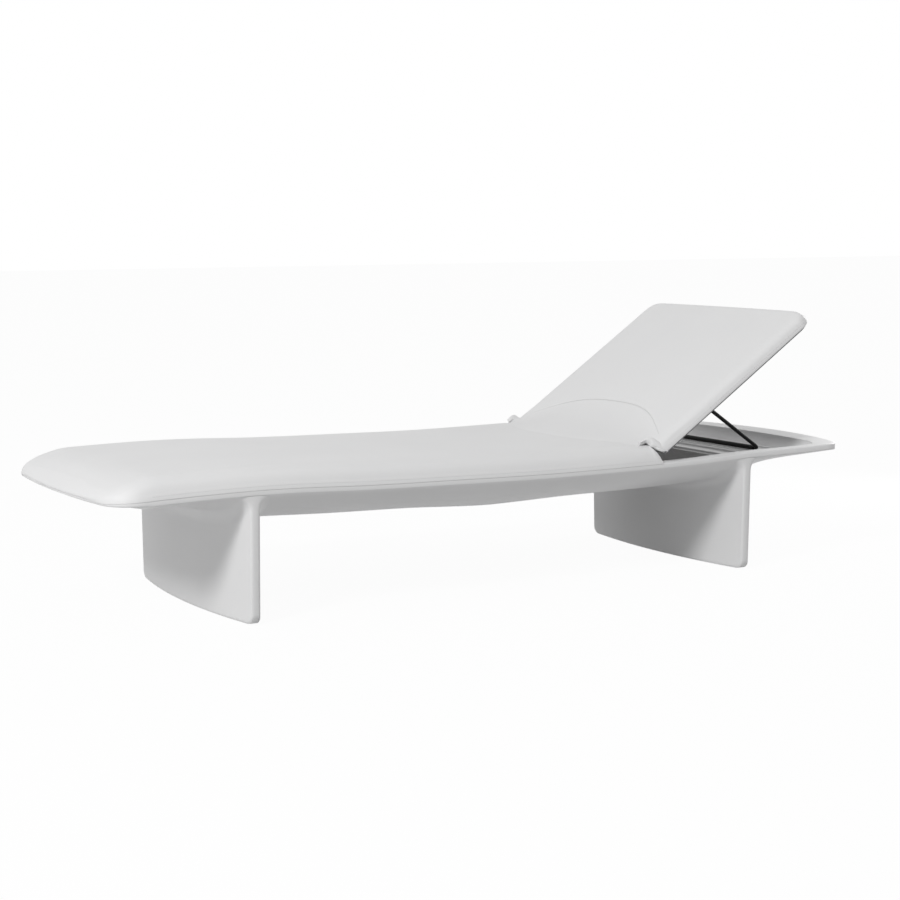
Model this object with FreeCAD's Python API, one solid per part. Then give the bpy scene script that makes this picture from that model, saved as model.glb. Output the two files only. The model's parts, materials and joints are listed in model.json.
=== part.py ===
import FreeCAD, Part
import math
import os

# Spa relaxation lounger, in millimetres.
# A boat-shaped white moulding with a thin rim stands on two lens-shaped legs.
# A sprung seat deck carries a soft mattress, and a hinged back section is held
# up by a rod frame whose crossbar lies over a ribbed rack in the open tray.
# X runs along the length with the head end at +X, Y is across and Z is up.
# It is drawn with the middle of its form lines at zero, and saved with the origin on the
# floor, under the middle of its length.

V = FreeCAD.Vector
os.makedirs("parts", exist_ok=True)

# Overall sizes of the moulding
foot_length = 1035.0
head_length = 1013.0
half_width = 345.0
foot_end_radius = 2600.0
head_end_radius = 1000.0
foot_corner_radius = 78.0
head_corner_radius = 55.0
deck_low = 287.0
deck_swing = 18.0
rim_band = 14.0
toe_band = 2.5
toe_length = 110.0
toe_keel_share = 0.1
keel_depth = 84.0
shell_wall = 6.0
flange_width = 42.0
cut_overrun = 40.0
running_gap = 0.3
deck_sample = 40.0

# The deck line, as shares of the foot end's length and of the swing in its height
deck_line_shares = [
    (-1.0, 0.12),
    (-0.93, 0.45),
    (-0.84, 0.66),
    (-0.70, 0.83),
    (-0.58, 0.79),
    (-0.40, 0.42),
    (-0.20, 0.21),
    (0.06, 0.0),
    (0.34, 0.10),
    (0.50, 0.30),
    (0.64, 0.66),
    (0.79, 0.78),
    (0.89, 0.95),
    (1.0, 1.05),
]

# The hull's depth under the rim band, past each leg line, as shares of the keel depth
keel_run = 345.0
keel_line_shares = [
    (-2.0, 1.08),
    (-1.3, 1.0),
    (-0.25, 1.0),
    (-0.05, 0.96),
    (0.09, 0.78),
    (0.20, 0.57),
    (0.30, 0.45),
    (0.46, 0.35),
    (0.72, 0.28),
    (1.0, 0.14),
    (1.2, 0.08),
]

# Legs
front_leg_x = -690.0
rear_leg_x = 656.0
leg_edge = 24.0
leg_middle = 82.0
leg_foot_half_width = 338.0
leg_corner = 22.0
edge_bulge_share = 0.8
leg_fairing = 25.0
glide_lift = 1.5
glide_radius = 16.0
glide_thickness = 4.0
glide_y = 240.0

# Leg fixings
bolt_radius = 5.0
bolt_length = 46.0
bolt_head_flats = 17.0
bolt_head_height = 6.4
washer_radius = 10.5
washer_thickness = 2.0
boss_radius = 15.0
boss_rise = 12.0
insert_radius = 7.0
insert_length = 22.0
insert_depth = 6.0
bolt_clearance = 0.5
bolt_y_inner = 50.0
bolt_y_outer = 110.0
fit_gap = 0.05

# Tray opening
tray_foot_x = -965.0
tray_head_x = 938.0
tray_end_run = 60.0
tray_corner = 60.0
tray_lip = 3.0

# Ribbed rack in the tray floor
rib_pitch = 64.0
rib_height = 5.0
rib_base = 22.0
rib_crown = 8.0
rib_behind_bar = 16.0
ribs_to_foot = 2
ribs_to_head = 1
rack_lead = 20.0
rack_ramp = 10.0
rack_half_width = 262.0
bar_lift = 0.6

# Hinge line and back section
hinge_x = 381.5
hinge_z = 296.0
back_angle = 34.5
back_length = 576.0
back_half_width = 342.0
back_board_start = 30.0
back_board_thickness = 6.0
back_corner = 42.0
back_pad_height = 29.0
back_pad_overhang = 7.0
back_pad_inset = 1.0
back_end_rounding = 15.0
nose_start = 16.0
nose_run = 22.0
nose_rise = 16.0
nose_drop = 8.0
fold_reach = 13.6
fold_rise = 31.0

# Seat
seat_board_thickness = 8.0
seat_board_inset = 20.0
seat_board_end = 9.0
seat_pad_end = 14.0
seat_pad_height = 48.0
toe_slope = 66.0
toe_height = 5.0
toe_bow = 0.35
end_rounding = 18.0
pad_shoulder = 62.0
back_shoulder = 26.0
pad_step = 65.0
cover_half_width = 342.0
batten_width = 42.0
batten_height = 18.0
batten_half_length = 262.0
batten_count = 4
batten_first_x = -760.0
batten_pitch = 300.0
seat_screw_radius = 2.2
seat_screw_head = 4.4
seat_screw_length = 20.0
seat_screw_count = 6
seat_screw_first_x = -880.0
seat_screw_pitch = 225.0
strip_width = 30.0
strip_thickness = 2.0
strip_edge = 60.0

# Butt hinges
hinge_y = 205.0
knuckle_radius = 6.0
knuckle_length = 14.0
knuckle_count = 5
pin_radius = 2.0
pin_play = 0.06
pin_head_radius = 3.4
pin_head_height = 1.6
leaf_thickness = 2.5
leaf_length = 46.0
leaf_sink = 0.8
knuckle_side_gap = 0.5
hinge_screw_radius = 1.9
hinge_screw_head = 3.8
hinge_screw_rise = 1.6
hinge_screw_length = 4.5
hinge_screw_spread = 22.0

# Prop frame
prop_y = 188.0
prop_pivot_along = 257.0
prop_pivot_drop = 10.0
prop_bar_reach = 432.5
prop_bar_drop = 12.2
rod_radius = 5.0
bar_radius = 6.2
bar_play = 0.06
strut_bend = 18.0
stub_bend = 8.0
spigot_length = 30.0
stub_reach = 21.0
ear_offset = 11.0
ear_thickness = 3.0
ear_radius = 9.6
bracket_length = 54.0
bracket_width = 26.0
bush_radius = 6.6
bush_flange_radius = 8.4
bush_flange = 1.2
rod_play = 0.06
clip_radius = 6.7
clip_thickness = 1.0
clip_gap = 0.4
bracket_screw_radius = 2.1
bracket_screw_head = 4.2
bracket_screw_rise = 1.8
bracket_screw_length = 5.0
buffer_radius = 8.0
buffer_height = 3.0
buffer_from_end = 22.0
buffer_y = 318.0

# The cover fold's outline round the hinge line, as shares of its reach and its rise: its lowest
# line, where each rounding starts, passes and ends, and the slope between the two roundings
fold_low_share = -0.17
fold_crest_shares = [(-1.0, 0.71), (-0.613, 0.952), (0.068, 0.859)]
fold_lap_shares = [(0.62, 0.52), (0.89, 0.31), (1.0, 0.0)]

# Where sections of the lofts stand, as shares of the foot end's length
hull_station_shares = [
    -1.04, -1.0, -0.95, -0.90, -0.83, -0.76, -0.715, -0.667, -0.60, -0.46, -0.23, 0.0,
    0.23, 0.46, 0.57, 0.634, 0.682, 0.73, 0.80, 0.87, 0.94, 1.0, 1.04,
]
# Steps into a rounded end, as shares of that end's run
end_step_shares = [0.02, 0.10, 0.25, 0.45, 0.70, 1.0]
# Half a boat section's poles: out and down, as shares of its half width and its drop
flank_pole_shares = [(1.0, 0.0), (0.87, 0.62), (0.56, 1.0), (0.0, 1.0)]
# A pad's side, in from its edge and up, as shares of its shoulder and its height
pad_side_shares = [
    (0.0, 0.0), (0.05, 0.30), (0.14, 0.56), (0.30, 0.76), (0.58, 0.89), (1.0, 0.95),
]
crown_shares = [(0.5, 0.985), (0.0, 1.0)]
# Steps along the seat pad's toe, and along the pads between their two rounded ends
toe_shares = [0.0, 0.08, 0.18, 0.30, 0.44, 0.60, 0.80, 1.0]
pad_body_shares = [0.14, 0.30, 0.48, 0.66, 0.84]


def blended(stations, x):
    # A smooth curve through the stations, with slopes taken from their neighbours.
    if x <= stations[0][0]:
        return stations[0][1]
    if x >= stations[-1][0]:
        return stations[-1][1]

    def slope(i):
        low = max(i - 1, 0)
        high = min(i + 1, len(stations) - 1)
        return (stations[high][1] - stations[low][1]) / (stations[high][0] - stations[low][0])

    i = max(k for k in range(len(stations) - 1) if stations[k][0] <= x)
    x0, y0 = stations[i]
    x1, y1 = stations[i + 1]
    run = x1 - x0
    t = (x - x0) / run
    level = (2 * t**3 - 3 * t**2 + 1) * y0 + (3 * t**2 - 2 * t**3) * y1
    return level + run * ((t**3 - 2 * t**2 + t) * slope(i) + (t**3 - t**2) * slope(i + 1))


def swell_of(share):
    # Height of a quarter circle, at a share of its run.
    return math.sqrt(1 - (1 - min(max(share, 0), 1)) ** 2)


def deck_z(x):
    return deck_low + deck_swing * blended(deck_line_shares, x / foot_length)


def past_toe(x):
    # How far along the toe a place is, as a share of the toe's length.
    return min(max((x + foot_length) / toe_length, 0), 1)


def band_height(x):
    return toe_band + (rim_band - toe_band) * past_toe(x)


def keel_z(x):
    # The lowest line of the hull: deep between the legs, rising to both ends.
    past_leg = x - rear_leg_x if x > 0 else front_leg_x - x
    depth = keel_depth * blended(keel_line_shares, past_leg / keel_run)
    depth *= toe_keel_share + (1 - toe_keel_share) * past_toe(x)
    return deck_z(x) - band_height(x) - depth


def ring(edges):
    return Part.Wire(edges)


def spline(points):
    curve = Part.BSplineCurve()
    curve.interpolate(points)
    return curve.toShape()


def lofted(wires, ruled=False):
    return Part.makeLoft(wires, True, ruled)


def box(x0, x1, y0, y1, z0, z1):
    return Part.makeBox(x1 - x0, y1 - y0, z1 - z0, V(x0, y0, z0))


def rod(radius, start, end):
    run = end - start
    return Part.makeCylinder(radius, run.Length, start, run)


def mirrored(shape):
    return shape.mirror(V(0, 0, 0), V(0, 1, 0))


def both_sides(shapes):
    return [s for shape in shapes for s in (shape, mirrored(shape))]


def side_profile(points, half_y):
    # A closed outline in the XZ plane, pushed across the width.
    outline = Part.makePolygon([V(x, -half_y, z) for x, z in points + points[:1]])
    return Part.Face(outline).extrude(V(0, 2 * half_y, 0))


def save(name, shapes):
    solids = [s for shape in shapes for s in shape.Solids]
    whole = solids[0] if len(solids) == 1 else Part.makeCompound(solids)
    whole = whole.translated(V((foot_length - head_length) / 2, 0, 0))
    whole.exportStep("parts/" + name + ".step")
    print(name, len(solids))


def upright_corners(block, sign):
    # The vertical edges at one end of a block that stand near its long sides.
    found = []
    for edge in block.Edges:
        a, b = edge.Vertexes[0].Point, edge.Vertexes[-1].Point
        level_run = abs(a.x - b.x) + abs(a.y - b.y)
        if level_run < fit_gap and abs(a.z - b.z) > fit_gap and sign * a.x > foot_length / 2:
            found.append(edge)
    return found


def beyond_arc(radius, centre_x, sign, z0, z1):
    # What lies outside an end's arc, over the half of the length that it closes.
    near_x = centre_x + sign * radius * math.cos(math.asin(half_width / radius)) - sign * cut_overrun
    far_x = centre_x + sign * (radius + cut_overrun)
    slab = box(min(near_x, far_x), max(near_x, far_x), -half_width, half_width, z0, z1)
    return slab.cut(Part.makeCylinder(radius, z1 - z0, V(centre_x, 0, z0)))


def plan_block(inset, z0, z1):
    # The lounger's outline seen from above, drawn in by the inset.
    foot = foot_length - inset
    head = head_length - inset
    side = half_width - inset
    foot_radius = foot_end_radius - inset
    head_radius = head_end_radius - inset
    block = box(-foot, head, -side, side, z0, z1)
    block = block.cut(beyond_arc(foot_radius, foot_radius - foot, -1, z0, z1))
    block = block.cut(beyond_arc(head_radius, head - head_radius, 1, z0, z1))
    block = block.makeFillet(foot_corner_radius - inset, upright_corners(block, -1))
    return block.makeFillet(head_corner_radius - inset, upright_corners(block, 1))


def boat_half(x, half, edge_z, low_z):
    # Half a section is one cubic curve from the edge down to the keel, level where it ends.
    poles = [V(x, half * out, edge_z - (edge_z - low_z) * down) for out, down in flank_pole_shares]
    curve = Part.BezierCurve()
    curve.setPoles(poles if half > 0 else poles[::-1])
    return curve.toShape()


def boat_section(x, half, top_z, edge_z, low_z):
    return ring([
        Part.makeLine(V(x, -half, top_z), V(x, half, top_z)),
        Part.makeLine(V(x, half, top_z), V(x, half, edge_z)),
        boat_half(x, half, edge_z, low_z),
        boat_half(x, -half, edge_z, low_z),
        Part.makeLine(V(x, -half, edge_z), V(x, -half, top_z)),
    ])


def hull_solid():
    sections = []
    for share in hull_station_shares:
        x = share * foot_length
        top = deck_z(x)
        sections.append(boat_section(x, half_width, top + cut_overrun, top - band_height(x), keel_z(x)))
    return lofted(sections)


def tray_hollow():
    # The open inside of the tray, with swept ends.
    stations = [tray_foot_x + s * tray_end_run for s in end_step_shares]
    inner = [s * foot_length for s in hull_station_shares]
    stations += [x for x in inner if stations[-1] + tray_end_run < x < tray_head_x - 2 * tray_end_run]
    stations += [tray_head_x - s * tray_end_run for s in reversed(end_step_shares)]
    sections = []
    for x in stations:
        swell = swell_of(min(x - tray_foot_x, tray_head_x - x) / tray_end_run)
        half = half_width - flange_width - tray_corner * (1 - swell)
        depth = (deck_z(x) - keel_z(x) - shell_wall) * swell
        top = deck_z(x)
        sections.append(boat_section(x, half, top + cut_overrun, top - tray_lip, top - depth))
    return lofted(sections, True)


def back_point(along, up, y=0):
    # A place on the raised back: along its board from the hinge line, and square to it.
    c, s = math.cos(math.radians(back_angle)), math.sin(math.radians(back_angle))
    return V(hinge_x + along * c - up * s, y, hinge_z + along * s + up * c)


def raised(shape):
    # Turns a shape drawn with the back lying level about the hinge line.
    return shape.rotated(V(hinge_x, 0, hinge_z), V(0, 1, 0), -back_angle)


bar_x = hinge_x + prop_bar_reach
bar_z = hinge_z - prop_bar_drop
rack_top = bar_z - bar_radius - bar_lift - rib_height


def rack_block():
    # The raised floor of the rack, with rounded ribs across it, before it is cut to the hull.
    start = bar_x + rib_behind_bar - ribs_to_foot * rib_pitch - rack_lead
    base_z = rack_top - keel_depth
    outline = [(start - rack_ramp, base_z), (start, rack_top)]
    for i in range(-ribs_to_foot, ribs_to_head + 1):
        middle = bar_x + rib_behind_bar + i * rib_pitch
        outline += [(middle - rib_base / 2, rack_top), (middle - rib_crown / 2, rack_top + rib_height)]
        outline += [(middle + rib_crown / 2, rack_top + rib_height), (middle + rib_base / 2, rack_top)]
    outline += [(tray_head_x, rack_top), (tray_head_x, base_z)]
    return side_profile(outline, rack_half_width)


def lens_section(leg_x, half, z):
    # A leg cut level: thin rounded edges at both sides and a thick bowed middle.
    edge = leg_edge / 2
    middle = leg_middle / 2
    side = half - edge * edge_bulge_share
    corners = [V(leg_x - edge, -side, z), V(leg_x - edge, side, z)]
    corners += [V(leg_x + edge, side, z), V(leg_x + edge, -side, z)]
    through = [V(leg_x - middle, 0, z), V(leg_x, half, z), V(leg_x + middle, 0, z), V(leg_x, -half, z)]
    arcs = []
    for i in range(len(corners)):
        arcs.append(Part.Arc(corners[i], through[i], corners[(i + 1) % len(corners)]).toShape())
    return ring(arcs)


def leg_blade(leg_x, inset=0):
    top_z = deck_z(leg_x) - rim_band / 2
    foot = lens_section(leg_x, leg_foot_half_width, glide_lift)
    return lofted([foot, lens_section(leg_x, half_width - inset, top_z)])


def faired_leg(leg_x, hull):
    # The blade blends into the hull with a rolled fillet, then the hull is taken off again.
    top_z = deck_z(leg_x) - rim_band / 2
    blade = leg_blade(leg_x)
    across = Part.makePolygon([
        V(leg_x - leg_middle, -leg_foot_half_width, glide_lift),
        V(leg_x - leg_middle, leg_foot_half_width, glide_lift),
        V(leg_x - leg_middle, half_width, top_z),
        V(leg_x - leg_middle, -half_width, top_z),
        V(leg_x - leg_middle, -leg_foot_half_width, glide_lift),
    ])
    frame = Part.Face(across).extrude(V(2 * leg_middle, 0, 0))
    low_edges = []
    for edge in frame.Edges:
        ends = [v.Point for v in edge.Vertexes]
        if max(p.z for p in ends) < glide_lift + fit_gap and abs(ends[0].y - ends[1].y) < fit_gap:
            low_edges.append(edge)
    blade = blade.common(frame.makeFillet(leg_corner, low_edges))
    joined = hull.fuse(blade)
    seam = []
    for edge in joined.Edges:
        middle = Part.Vertex(edge.valueAt((edge.FirstParameter + edge.LastParameter) / 2))
        on_blade = blade.Shells[0].distToShape(middle)[0] < fit_gap
        if on_blade and hull.Shells[0].distToShape(middle)[0] < fit_gap:
            seam.append(edge)
    leg = joined.makeFillet(leg_fairing, seam).cut(hull)
    return max(leg.Solids, key=lambda solid: solid.Volume)


def hexagon(centre, flats, height):
    reach = flats / math.sqrt(3)
    turns = [math.radians(60 * k) for k in range(7)]
    corners = [centre + V(reach * math.cos(a), reach * math.sin(a), 0) for a in turns]
    return Part.Face(Part.makePolygon(corners)).extrude(V(0, 0, height))


def deck_strip(x0, x1, low, high, half_y):
    # A strip that follows the deck line, between two heights over it.
    steps = max(round((x1 - x0) / deck_sample), 4)
    xs = [x0 + (x1 - x0) * k / steps for k in range(steps + 1)]
    under = [V(x, -half_y, deck_z(x) + low) for x in xs]
    over = [V(x, -half_y, deck_z(x) + high) for x in reversed(xs)]
    outline = ring([
        spline(under),
        Part.makeLine(under[-1], over[0]),
        spline(over),
        Part.makeLine(over[-1], under[0]),
    ])
    return Part.Face(outline).extrude(V(0, 2 * half_y, 0))


def pad_side_points(half, height, shoulder):
    # Half of a pad cut across, as (across, up): full side, shoulder and a slight crown.
    points = [(half - a * shoulder, b * height) for a, b in pad_side_shares]
    return points + [(a * (half - shoulder), b * height) for a, b in crown_shares]


def pad_ring(x, half, base_z, height, shoulder):
    side = [V(x, y, base_z + up) for y, up in pad_side_points(half, height, shoulder)]
    over = side + [V(x, -p.y, p.z) for p in reversed(side[:-1])]
    return ring([Part.makeLine(over[-1], over[0]), spline(over)])


def toe_ring(share):
    # A bowed cut across the seat pad's toe, that runs out to the rounded corner of the outline.
    centre_x = foot_end_radius - foot_length
    corner_y = half_width - foot_corner_radius
    reach = foot_end_radius - foot_corner_radius
    corner_x = centre_x - math.sqrt(reach**2 - corner_y**2)
    first = math.asin(corner_y / reach)
    turn = first + (math.pi / 2 - first) * share
    half = corner_y + foot_corner_radius * math.sin(turn)
    side_x = corner_x - foot_corner_radius * math.cos(turn)
    middle_x = toe_slope * share - foot_length
    height = toe_height + (seat_pad_height - toe_height) * share * (1 + toe_bow - toe_bow * share)

    def place(y, up):
        x = middle_x + (side_x - middle_x) * (y / half) ** 2
        return V(x, y, deck_z(x) + up)

    side = pad_side_points(half, height, pad_shoulder)
    over = [place(y, up) for y, up in side] + [place(-y, up) for y, up in reversed(side[:-1])]
    under = [place(k * half / 4, 0) for k in range(-4, 5)]
    return ring([spline(under), spline(over)])


def seat_pad_solid():
    start = -foot_length
    toe_end = start + toe_slope
    end = hinge_x - seat_pad_end
    toe_half = half_width - foot_corner_radius
    rings = [pad_ring(start - cut_overrun, toe_half, deck_z(start), toe_height, pad_shoulder)]
    rings += [toe_ring(share) for share in toe_shares]
    body_steps = max(round((end - end_rounding - toe_end) / pad_step), 2)
    body = end - end_rounding - toe_end
    stations = [toe_end + k * body / body_steps for k in range(1, body_steps)]
    stations += [end - s * end_rounding for s in reversed(end_step_shares)]
    for x in stations:
        tail = end_rounding * (1 - swell_of((end - x) / end_rounding))
        rings.append(pad_ring(x, half_width, deck_z(x), seat_pad_height - tail, pad_shoulder))
    pad = lofted(rings, True)
    rounded = foot_end_radius - running_gap
    low = deck_low - 2 * keel_depth
    pad = pad.common(Part.makeCylinder(rounded, 4 * keel_depth, V(foot_end_radius + start, 0, low)))
    wide = half_width + cut_overrun
    return pad.cut(deck_strip(start - 2 * cut_overrun, end + cut_overrun, -cut_overrun, running_gap, wide))


def back_pad_solid():
    start = hinge_x + nose_start
    end = hinge_x + back_length + back_pad_overhang
    base = hinge_z + back_board_thickness + running_gap
    side = back_half_width - back_pad_inset
    stations = [start + s * nose_run for s in end_step_shares]
    stations += [start + s * (end - start) for s in pad_body_shares]
    stations += [end - s * back_corner for s in reversed(end_step_shares)]
    rings = []
    for x in stations:
        nose = 1 - swell_of((x - start) / nose_run)
        corner = 1 - swell_of((end - x) / back_corner)
        tail = back_end_rounding * (1 - swell_of((end - x) / back_end_rounding))
        height = back_pad_height - (nose_rise + nose_drop) * nose - tail
        half = side - back_corner * corner
        rings.append(pad_ring(x, half, base + nose_rise * nose, height, back_shoulder))
    return lofted(rings, True)


def knuckles(owner, side_y):
    # Barrel segments of one leaf: even ones belong to the seat leaf, odd ones to the back leaf.
    pieces = []
    for i in range(owner, knuckle_count, 2):
        low = side_y + (i - knuckle_count / 2) * knuckle_length
        span = V(0, knuckle_length - knuckle_side_gap, 0)
        foot = V(hinge_x, low + knuckle_side_gap / 2, hinge_z)
        pieces.append(rod(knuckle_radius, foot, foot + span))
    return pieces


def leaf(owner, side_y, plate):
    # One hinge leaf: its plate notched round the other leaf's barrel segments, and its own barrels.
    for i in range(1 - owner, knuckle_count, 2):
        low = side_y + (i - knuckle_count / 2) * knuckle_length
        reach = knuckle_radius + knuckle_side_gap
        x0, x1 = hinge_x - reach, hinge_x + reach
        plate = plate.cut(box(x0, x1, low, low + knuckle_length, hinge_z - reach, hinge_z + reach))
    for piece in knuckles(owner, side_y):
        plate = plate.fuse(piece)
    half = knuckle_count * knuckle_length
    bore = rod(pin_radius + pin_play, V(hinge_x, side_y - half, hinge_z), V(hinge_x, side_y + half, hinge_z))
    return plate.cut(bore)


def screw(radius, head_radius, head, length, tip, direction):
    # A pan-head screw: its tip, and the way its head faces.
    shank = rod(radius, tip, tip + direction * length)
    return shank.fuse(rod(head_radius, tip + direction * length, tip + direction * (length + head)))


def flush_screw(radius, head_radius, length, top):
    # A flat-headed screw let in flush, head up, over a straight shank.
    sink = head_radius - radius
    head = rod(head_radius, top - V(0, 0, sink), top)
    return head.fuse(rod(radius, top - V(0, 0, length), top - V(0, 0, sink)))


plan = plan_block(0, deck_low - 2 * keel_depth, deck_low + cut_overrun)
over = foot_length + cut_overrun
above = deck_strip(-over, over, 0, 2 * cut_overrun, half_width + cut_overrun)
hull = hull_solid().common(plan).cut(above)
inner_blocks = [rack_block().common(hull)]
shell_bores = []

# Legs, and the bolts that hold them from inside the tray
legs = {}
leg_bolts = []
leg_washers = []
leg_inserts = []
for name, leg_x in (("front_leg", front_leg_x), ("rear_leg", rear_leg_x)):
    leg_cuts = []
    under_z = keel_z(leg_x)
    boss_z = under_z + shell_wall + boss_rise
    for y in (-bolt_y_outer, -bolt_y_inner, bolt_y_inner, bolt_y_outer):
        top = V(leg_x, y, boss_z)
        foot = top - V(0, 0, bolt_length)
        inner_blocks.append(rod(boss_radius, V(leg_x, y, under_z), top).common(hull))
        shell_bores.append(rod(bolt_radius + bolt_clearance, foot, top + V(0, 0, boss_rise)))
        seat = top + V(0, 0, washer_thickness)
        bolt = rod(bolt_radius, foot + V(0, 0, washer_thickness), seat)
        leg_bolts.append(bolt.fuse(hexagon(seat, bolt_head_flats, bolt_head_height)))
        leg_washers.append(rod(washer_radius, top, seat).cut(rod(bolt_radius + bolt_clearance, top, seat)))
        insert_top = V(leg_x, y, under_z - insert_depth)
        insert_foot = insert_top - V(0, 0, insert_length)
        insert = rod(insert_radius, insert_foot, insert_top)
        leg_inserts.append(insert.cut(rod(bolt_radius + fit_gap, insert_foot, insert_top)))
        leg_cuts.append(rod(insert_radius + fit_gap, insert_foot - V(0, 0, insert_depth), top))
    for y in (-glide_y, glide_y):
        pocket_top = V(leg_x, y, glide_thickness + running_gap)
        leg_cuts.append(rod(glide_radius + running_gap, V(leg_x, y, 0), pocket_top))
    legs[name] = faired_leg(leg_x, hull).cut(leg_cuts)

glides = []
for leg_x in (front_leg_x, rear_leg_x):
    for y in (-glide_y, glide_y):
        glides.append(rod(glide_radius, V(leg_x, y, 0), V(leg_x, y, glide_thickness)))

# Seat board on the rim flange, with battens under it and screws down into the flange
board_low = running_gap
board_high = running_gap + seat_board_thickness
board_half = half_width - seat_board_inset
board_foot = -foot_length + seat_board_inset
board_end = hinge_x - seat_board_end
seat_board = deck_strip(board_foot, board_end, board_low, board_high, board_half)
seat_board = seat_board.common(plan_block(seat_board_inset, deck_low - keel_depth, deck_low + keel_depth))

battens = []
for k in range(batten_count):
    middle = batten_first_x + k * batten_pitch
    x0, x1 = middle - batten_width / 2, middle + batten_width / 2
    battens.append(deck_strip(x0, x1, board_low - batten_height, board_low, batten_half_length))

seat_screws = []
board_cuts = []
screw_y = half_width - (flange_width + seat_board_inset) / 2
for k in range(seat_screw_count):
    x = seat_screw_first_x + k * seat_screw_pitch
    for y in (-screw_y, screw_y):
        top = V(x, y, deck_z(x) + board_high)
        seat_screws.append(flush_screw(seat_screw_radius, seat_screw_head, seat_screw_length, top))
        bore = flush_screw(seat_screw_radius + fit_gap, seat_screw_head + fit_gap, seat_screw_length, top)
        board_cuts.append(bore)
        shell_bores.append(bore)
shell = hull.cut(tray_hollow()).fuse(inner_blocks).cut(shell_bores)

# Butt hinges: the seat leaf is let into the seat board, the back leaf lies under the back board
seat_leaves = []
back_leaves = []
hinge_pins = []
seat_hinge_screws = []
back_hinge_screws = []
back_holes = []
leaf_half = knuckle_count * knuckle_length / 2
leaf_top = hinge_z + leaf_sink
for side_y in (-hinge_y, hinge_y):
    seat_x0 = board_end - leaf_length
    plate = box(seat_x0, hinge_x, side_y - leaf_half, side_y + leaf_half, leaf_top - leaf_thickness, leaf_top)
    seat_leaf = leaf(0, side_y, plate)
    mortise = box(
        seat_x0 - running_gap,
        hinge_x,
        side_y - leaf_half - running_gap,
        side_y + leaf_half + running_gap,
        leaf_top - leaf_thickness - running_gap,
        leaf_top + leaf_thickness,
    )
    board_cuts.append(mortise)
    back_x1 = hinge_x + back_board_start + leaf_length
    plate = box(hinge_x, back_x1, side_y - leaf_half, side_y + leaf_half, hinge_z - leaf_thickness, hinge_z)
    back_leaf = leaf(1, side_y, plate)
    for k in (-1, 0, 1):
        y = side_y + k * hinge_screw_spread
        top = V(seat_x0 + leaf_length / 2, y, leaf_top)
        depth = leaf_thickness + hinge_screw_length
        seat_hinge_screws.append(flush_screw(hinge_screw_radius, hinge_screw_head, depth, top))
        bore = flush_screw(hinge_screw_radius + fit_gap, hinge_screw_head + fit_gap, depth, top)
        seat_leaf = seat_leaf.cut(bore)
        board_cuts.append(bore)
        tip = V(back_x1 - leaf_length / 2, y, hinge_z + hinge_screw_length)
        depth = leaf_thickness + hinge_screw_length
        fixing = screw(hinge_screw_radius, hinge_screw_head, hinge_screw_rise, depth, tip, V(0, 0, -1))
        back_hinge_screws.append(fixing)
        hole = rod(hinge_screw_radius + fit_gap, tip, tip - V(0, 0, depth))
        back_leaf = back_leaf.cut(hole)
        back_holes.append(hole)
    seat_leaves.append(seat_leaf)
    back_leaves.append(back_leaf)
    low = V(hinge_x, side_y - leaf_half, hinge_z)
    high = V(hinge_x, side_y + leaf_half, hinge_z)
    pin = rod(pin_radius, low, high)
    head = V(0, pin_head_height, 0)
    pin = pin.fuse([rod(pin_head_radius, low - head, low), rod(pin_head_radius, high, high + head)])
    hinge_pins.append(pin)

seat_board = seat_board.cut(board_cuts)

# Seat pad, hollowed underneath for the board, and the strips that hold it
seat_pad = seat_pad_solid()
recess_half = board_half + running_gap
recess_x0, recess_x1 = board_foot - running_gap, board_end + cut_overrun
recess = deck_strip(recess_x0, recess_x1, 0, board_high + running_gap, recess_half)
recess_plan = plan_block(seat_board_inset - running_gap, deck_low - keel_depth, deck_low + keel_depth)
pad_cuts = [recess.common(recess_plan)]
seat_strips = []
for share in pad_body_shares:
    x = board_foot + share * (board_end - board_foot)
    half = board_half - strip_edge
    strip_low = board_high + fit_gap
    strip = deck_strip(x, x + strip_width, strip_low, strip_low + strip_thickness, half)
    seat_strips.append(strip)
    slot_top = strip_low + strip_thickness + running_gap
    slot_x1 = x + strip_width + running_gap
    pad_cuts.append(deck_strip(x - running_gap, slot_x1, 0, slot_top, half + running_gap))
seat_pad = seat_pad.cut(pad_cuts)

# Back board, its pad, strips and rubber buffers, drawn level and then raised
back_end = hinge_x + back_length
back_top = hinge_z + back_board_thickness
back_board = box(hinge_x + back_board_start, back_end, -back_half_width, back_half_width, hinge_z, back_top)
back_board = back_board.makeFillet(back_corner, upright_corners(back_board, 1))
back_pad = back_pad_solid()
back_strips = []
for share in pad_body_shares[::2]:
    x = hinge_x + back_board_start + share * (back_length - back_board_start)
    half = back_half_width - strip_edge
    back_strips.append(box(x, x + strip_width, -half, half, back_top, back_top + strip_thickness))
    slot = box(
        x - running_gap,
        x + strip_width + running_gap,
        -half - running_gap,
        half + running_gap,
        back_top,
        back_top + strip_thickness + running_gap,
    )
    back_pad = back_pad.cut(slot)
buffers = []
for y in (-buffer_y, buffer_y):
    foot = V(back_end - buffer_from_end, y, hinge_z - buffer_height)
    buffers.append(rod(buffer_radius, foot, foot + V(0, 0, buffer_height)))
for hole in back_holes:
    back_board = back_board.cut(hole)

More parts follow.
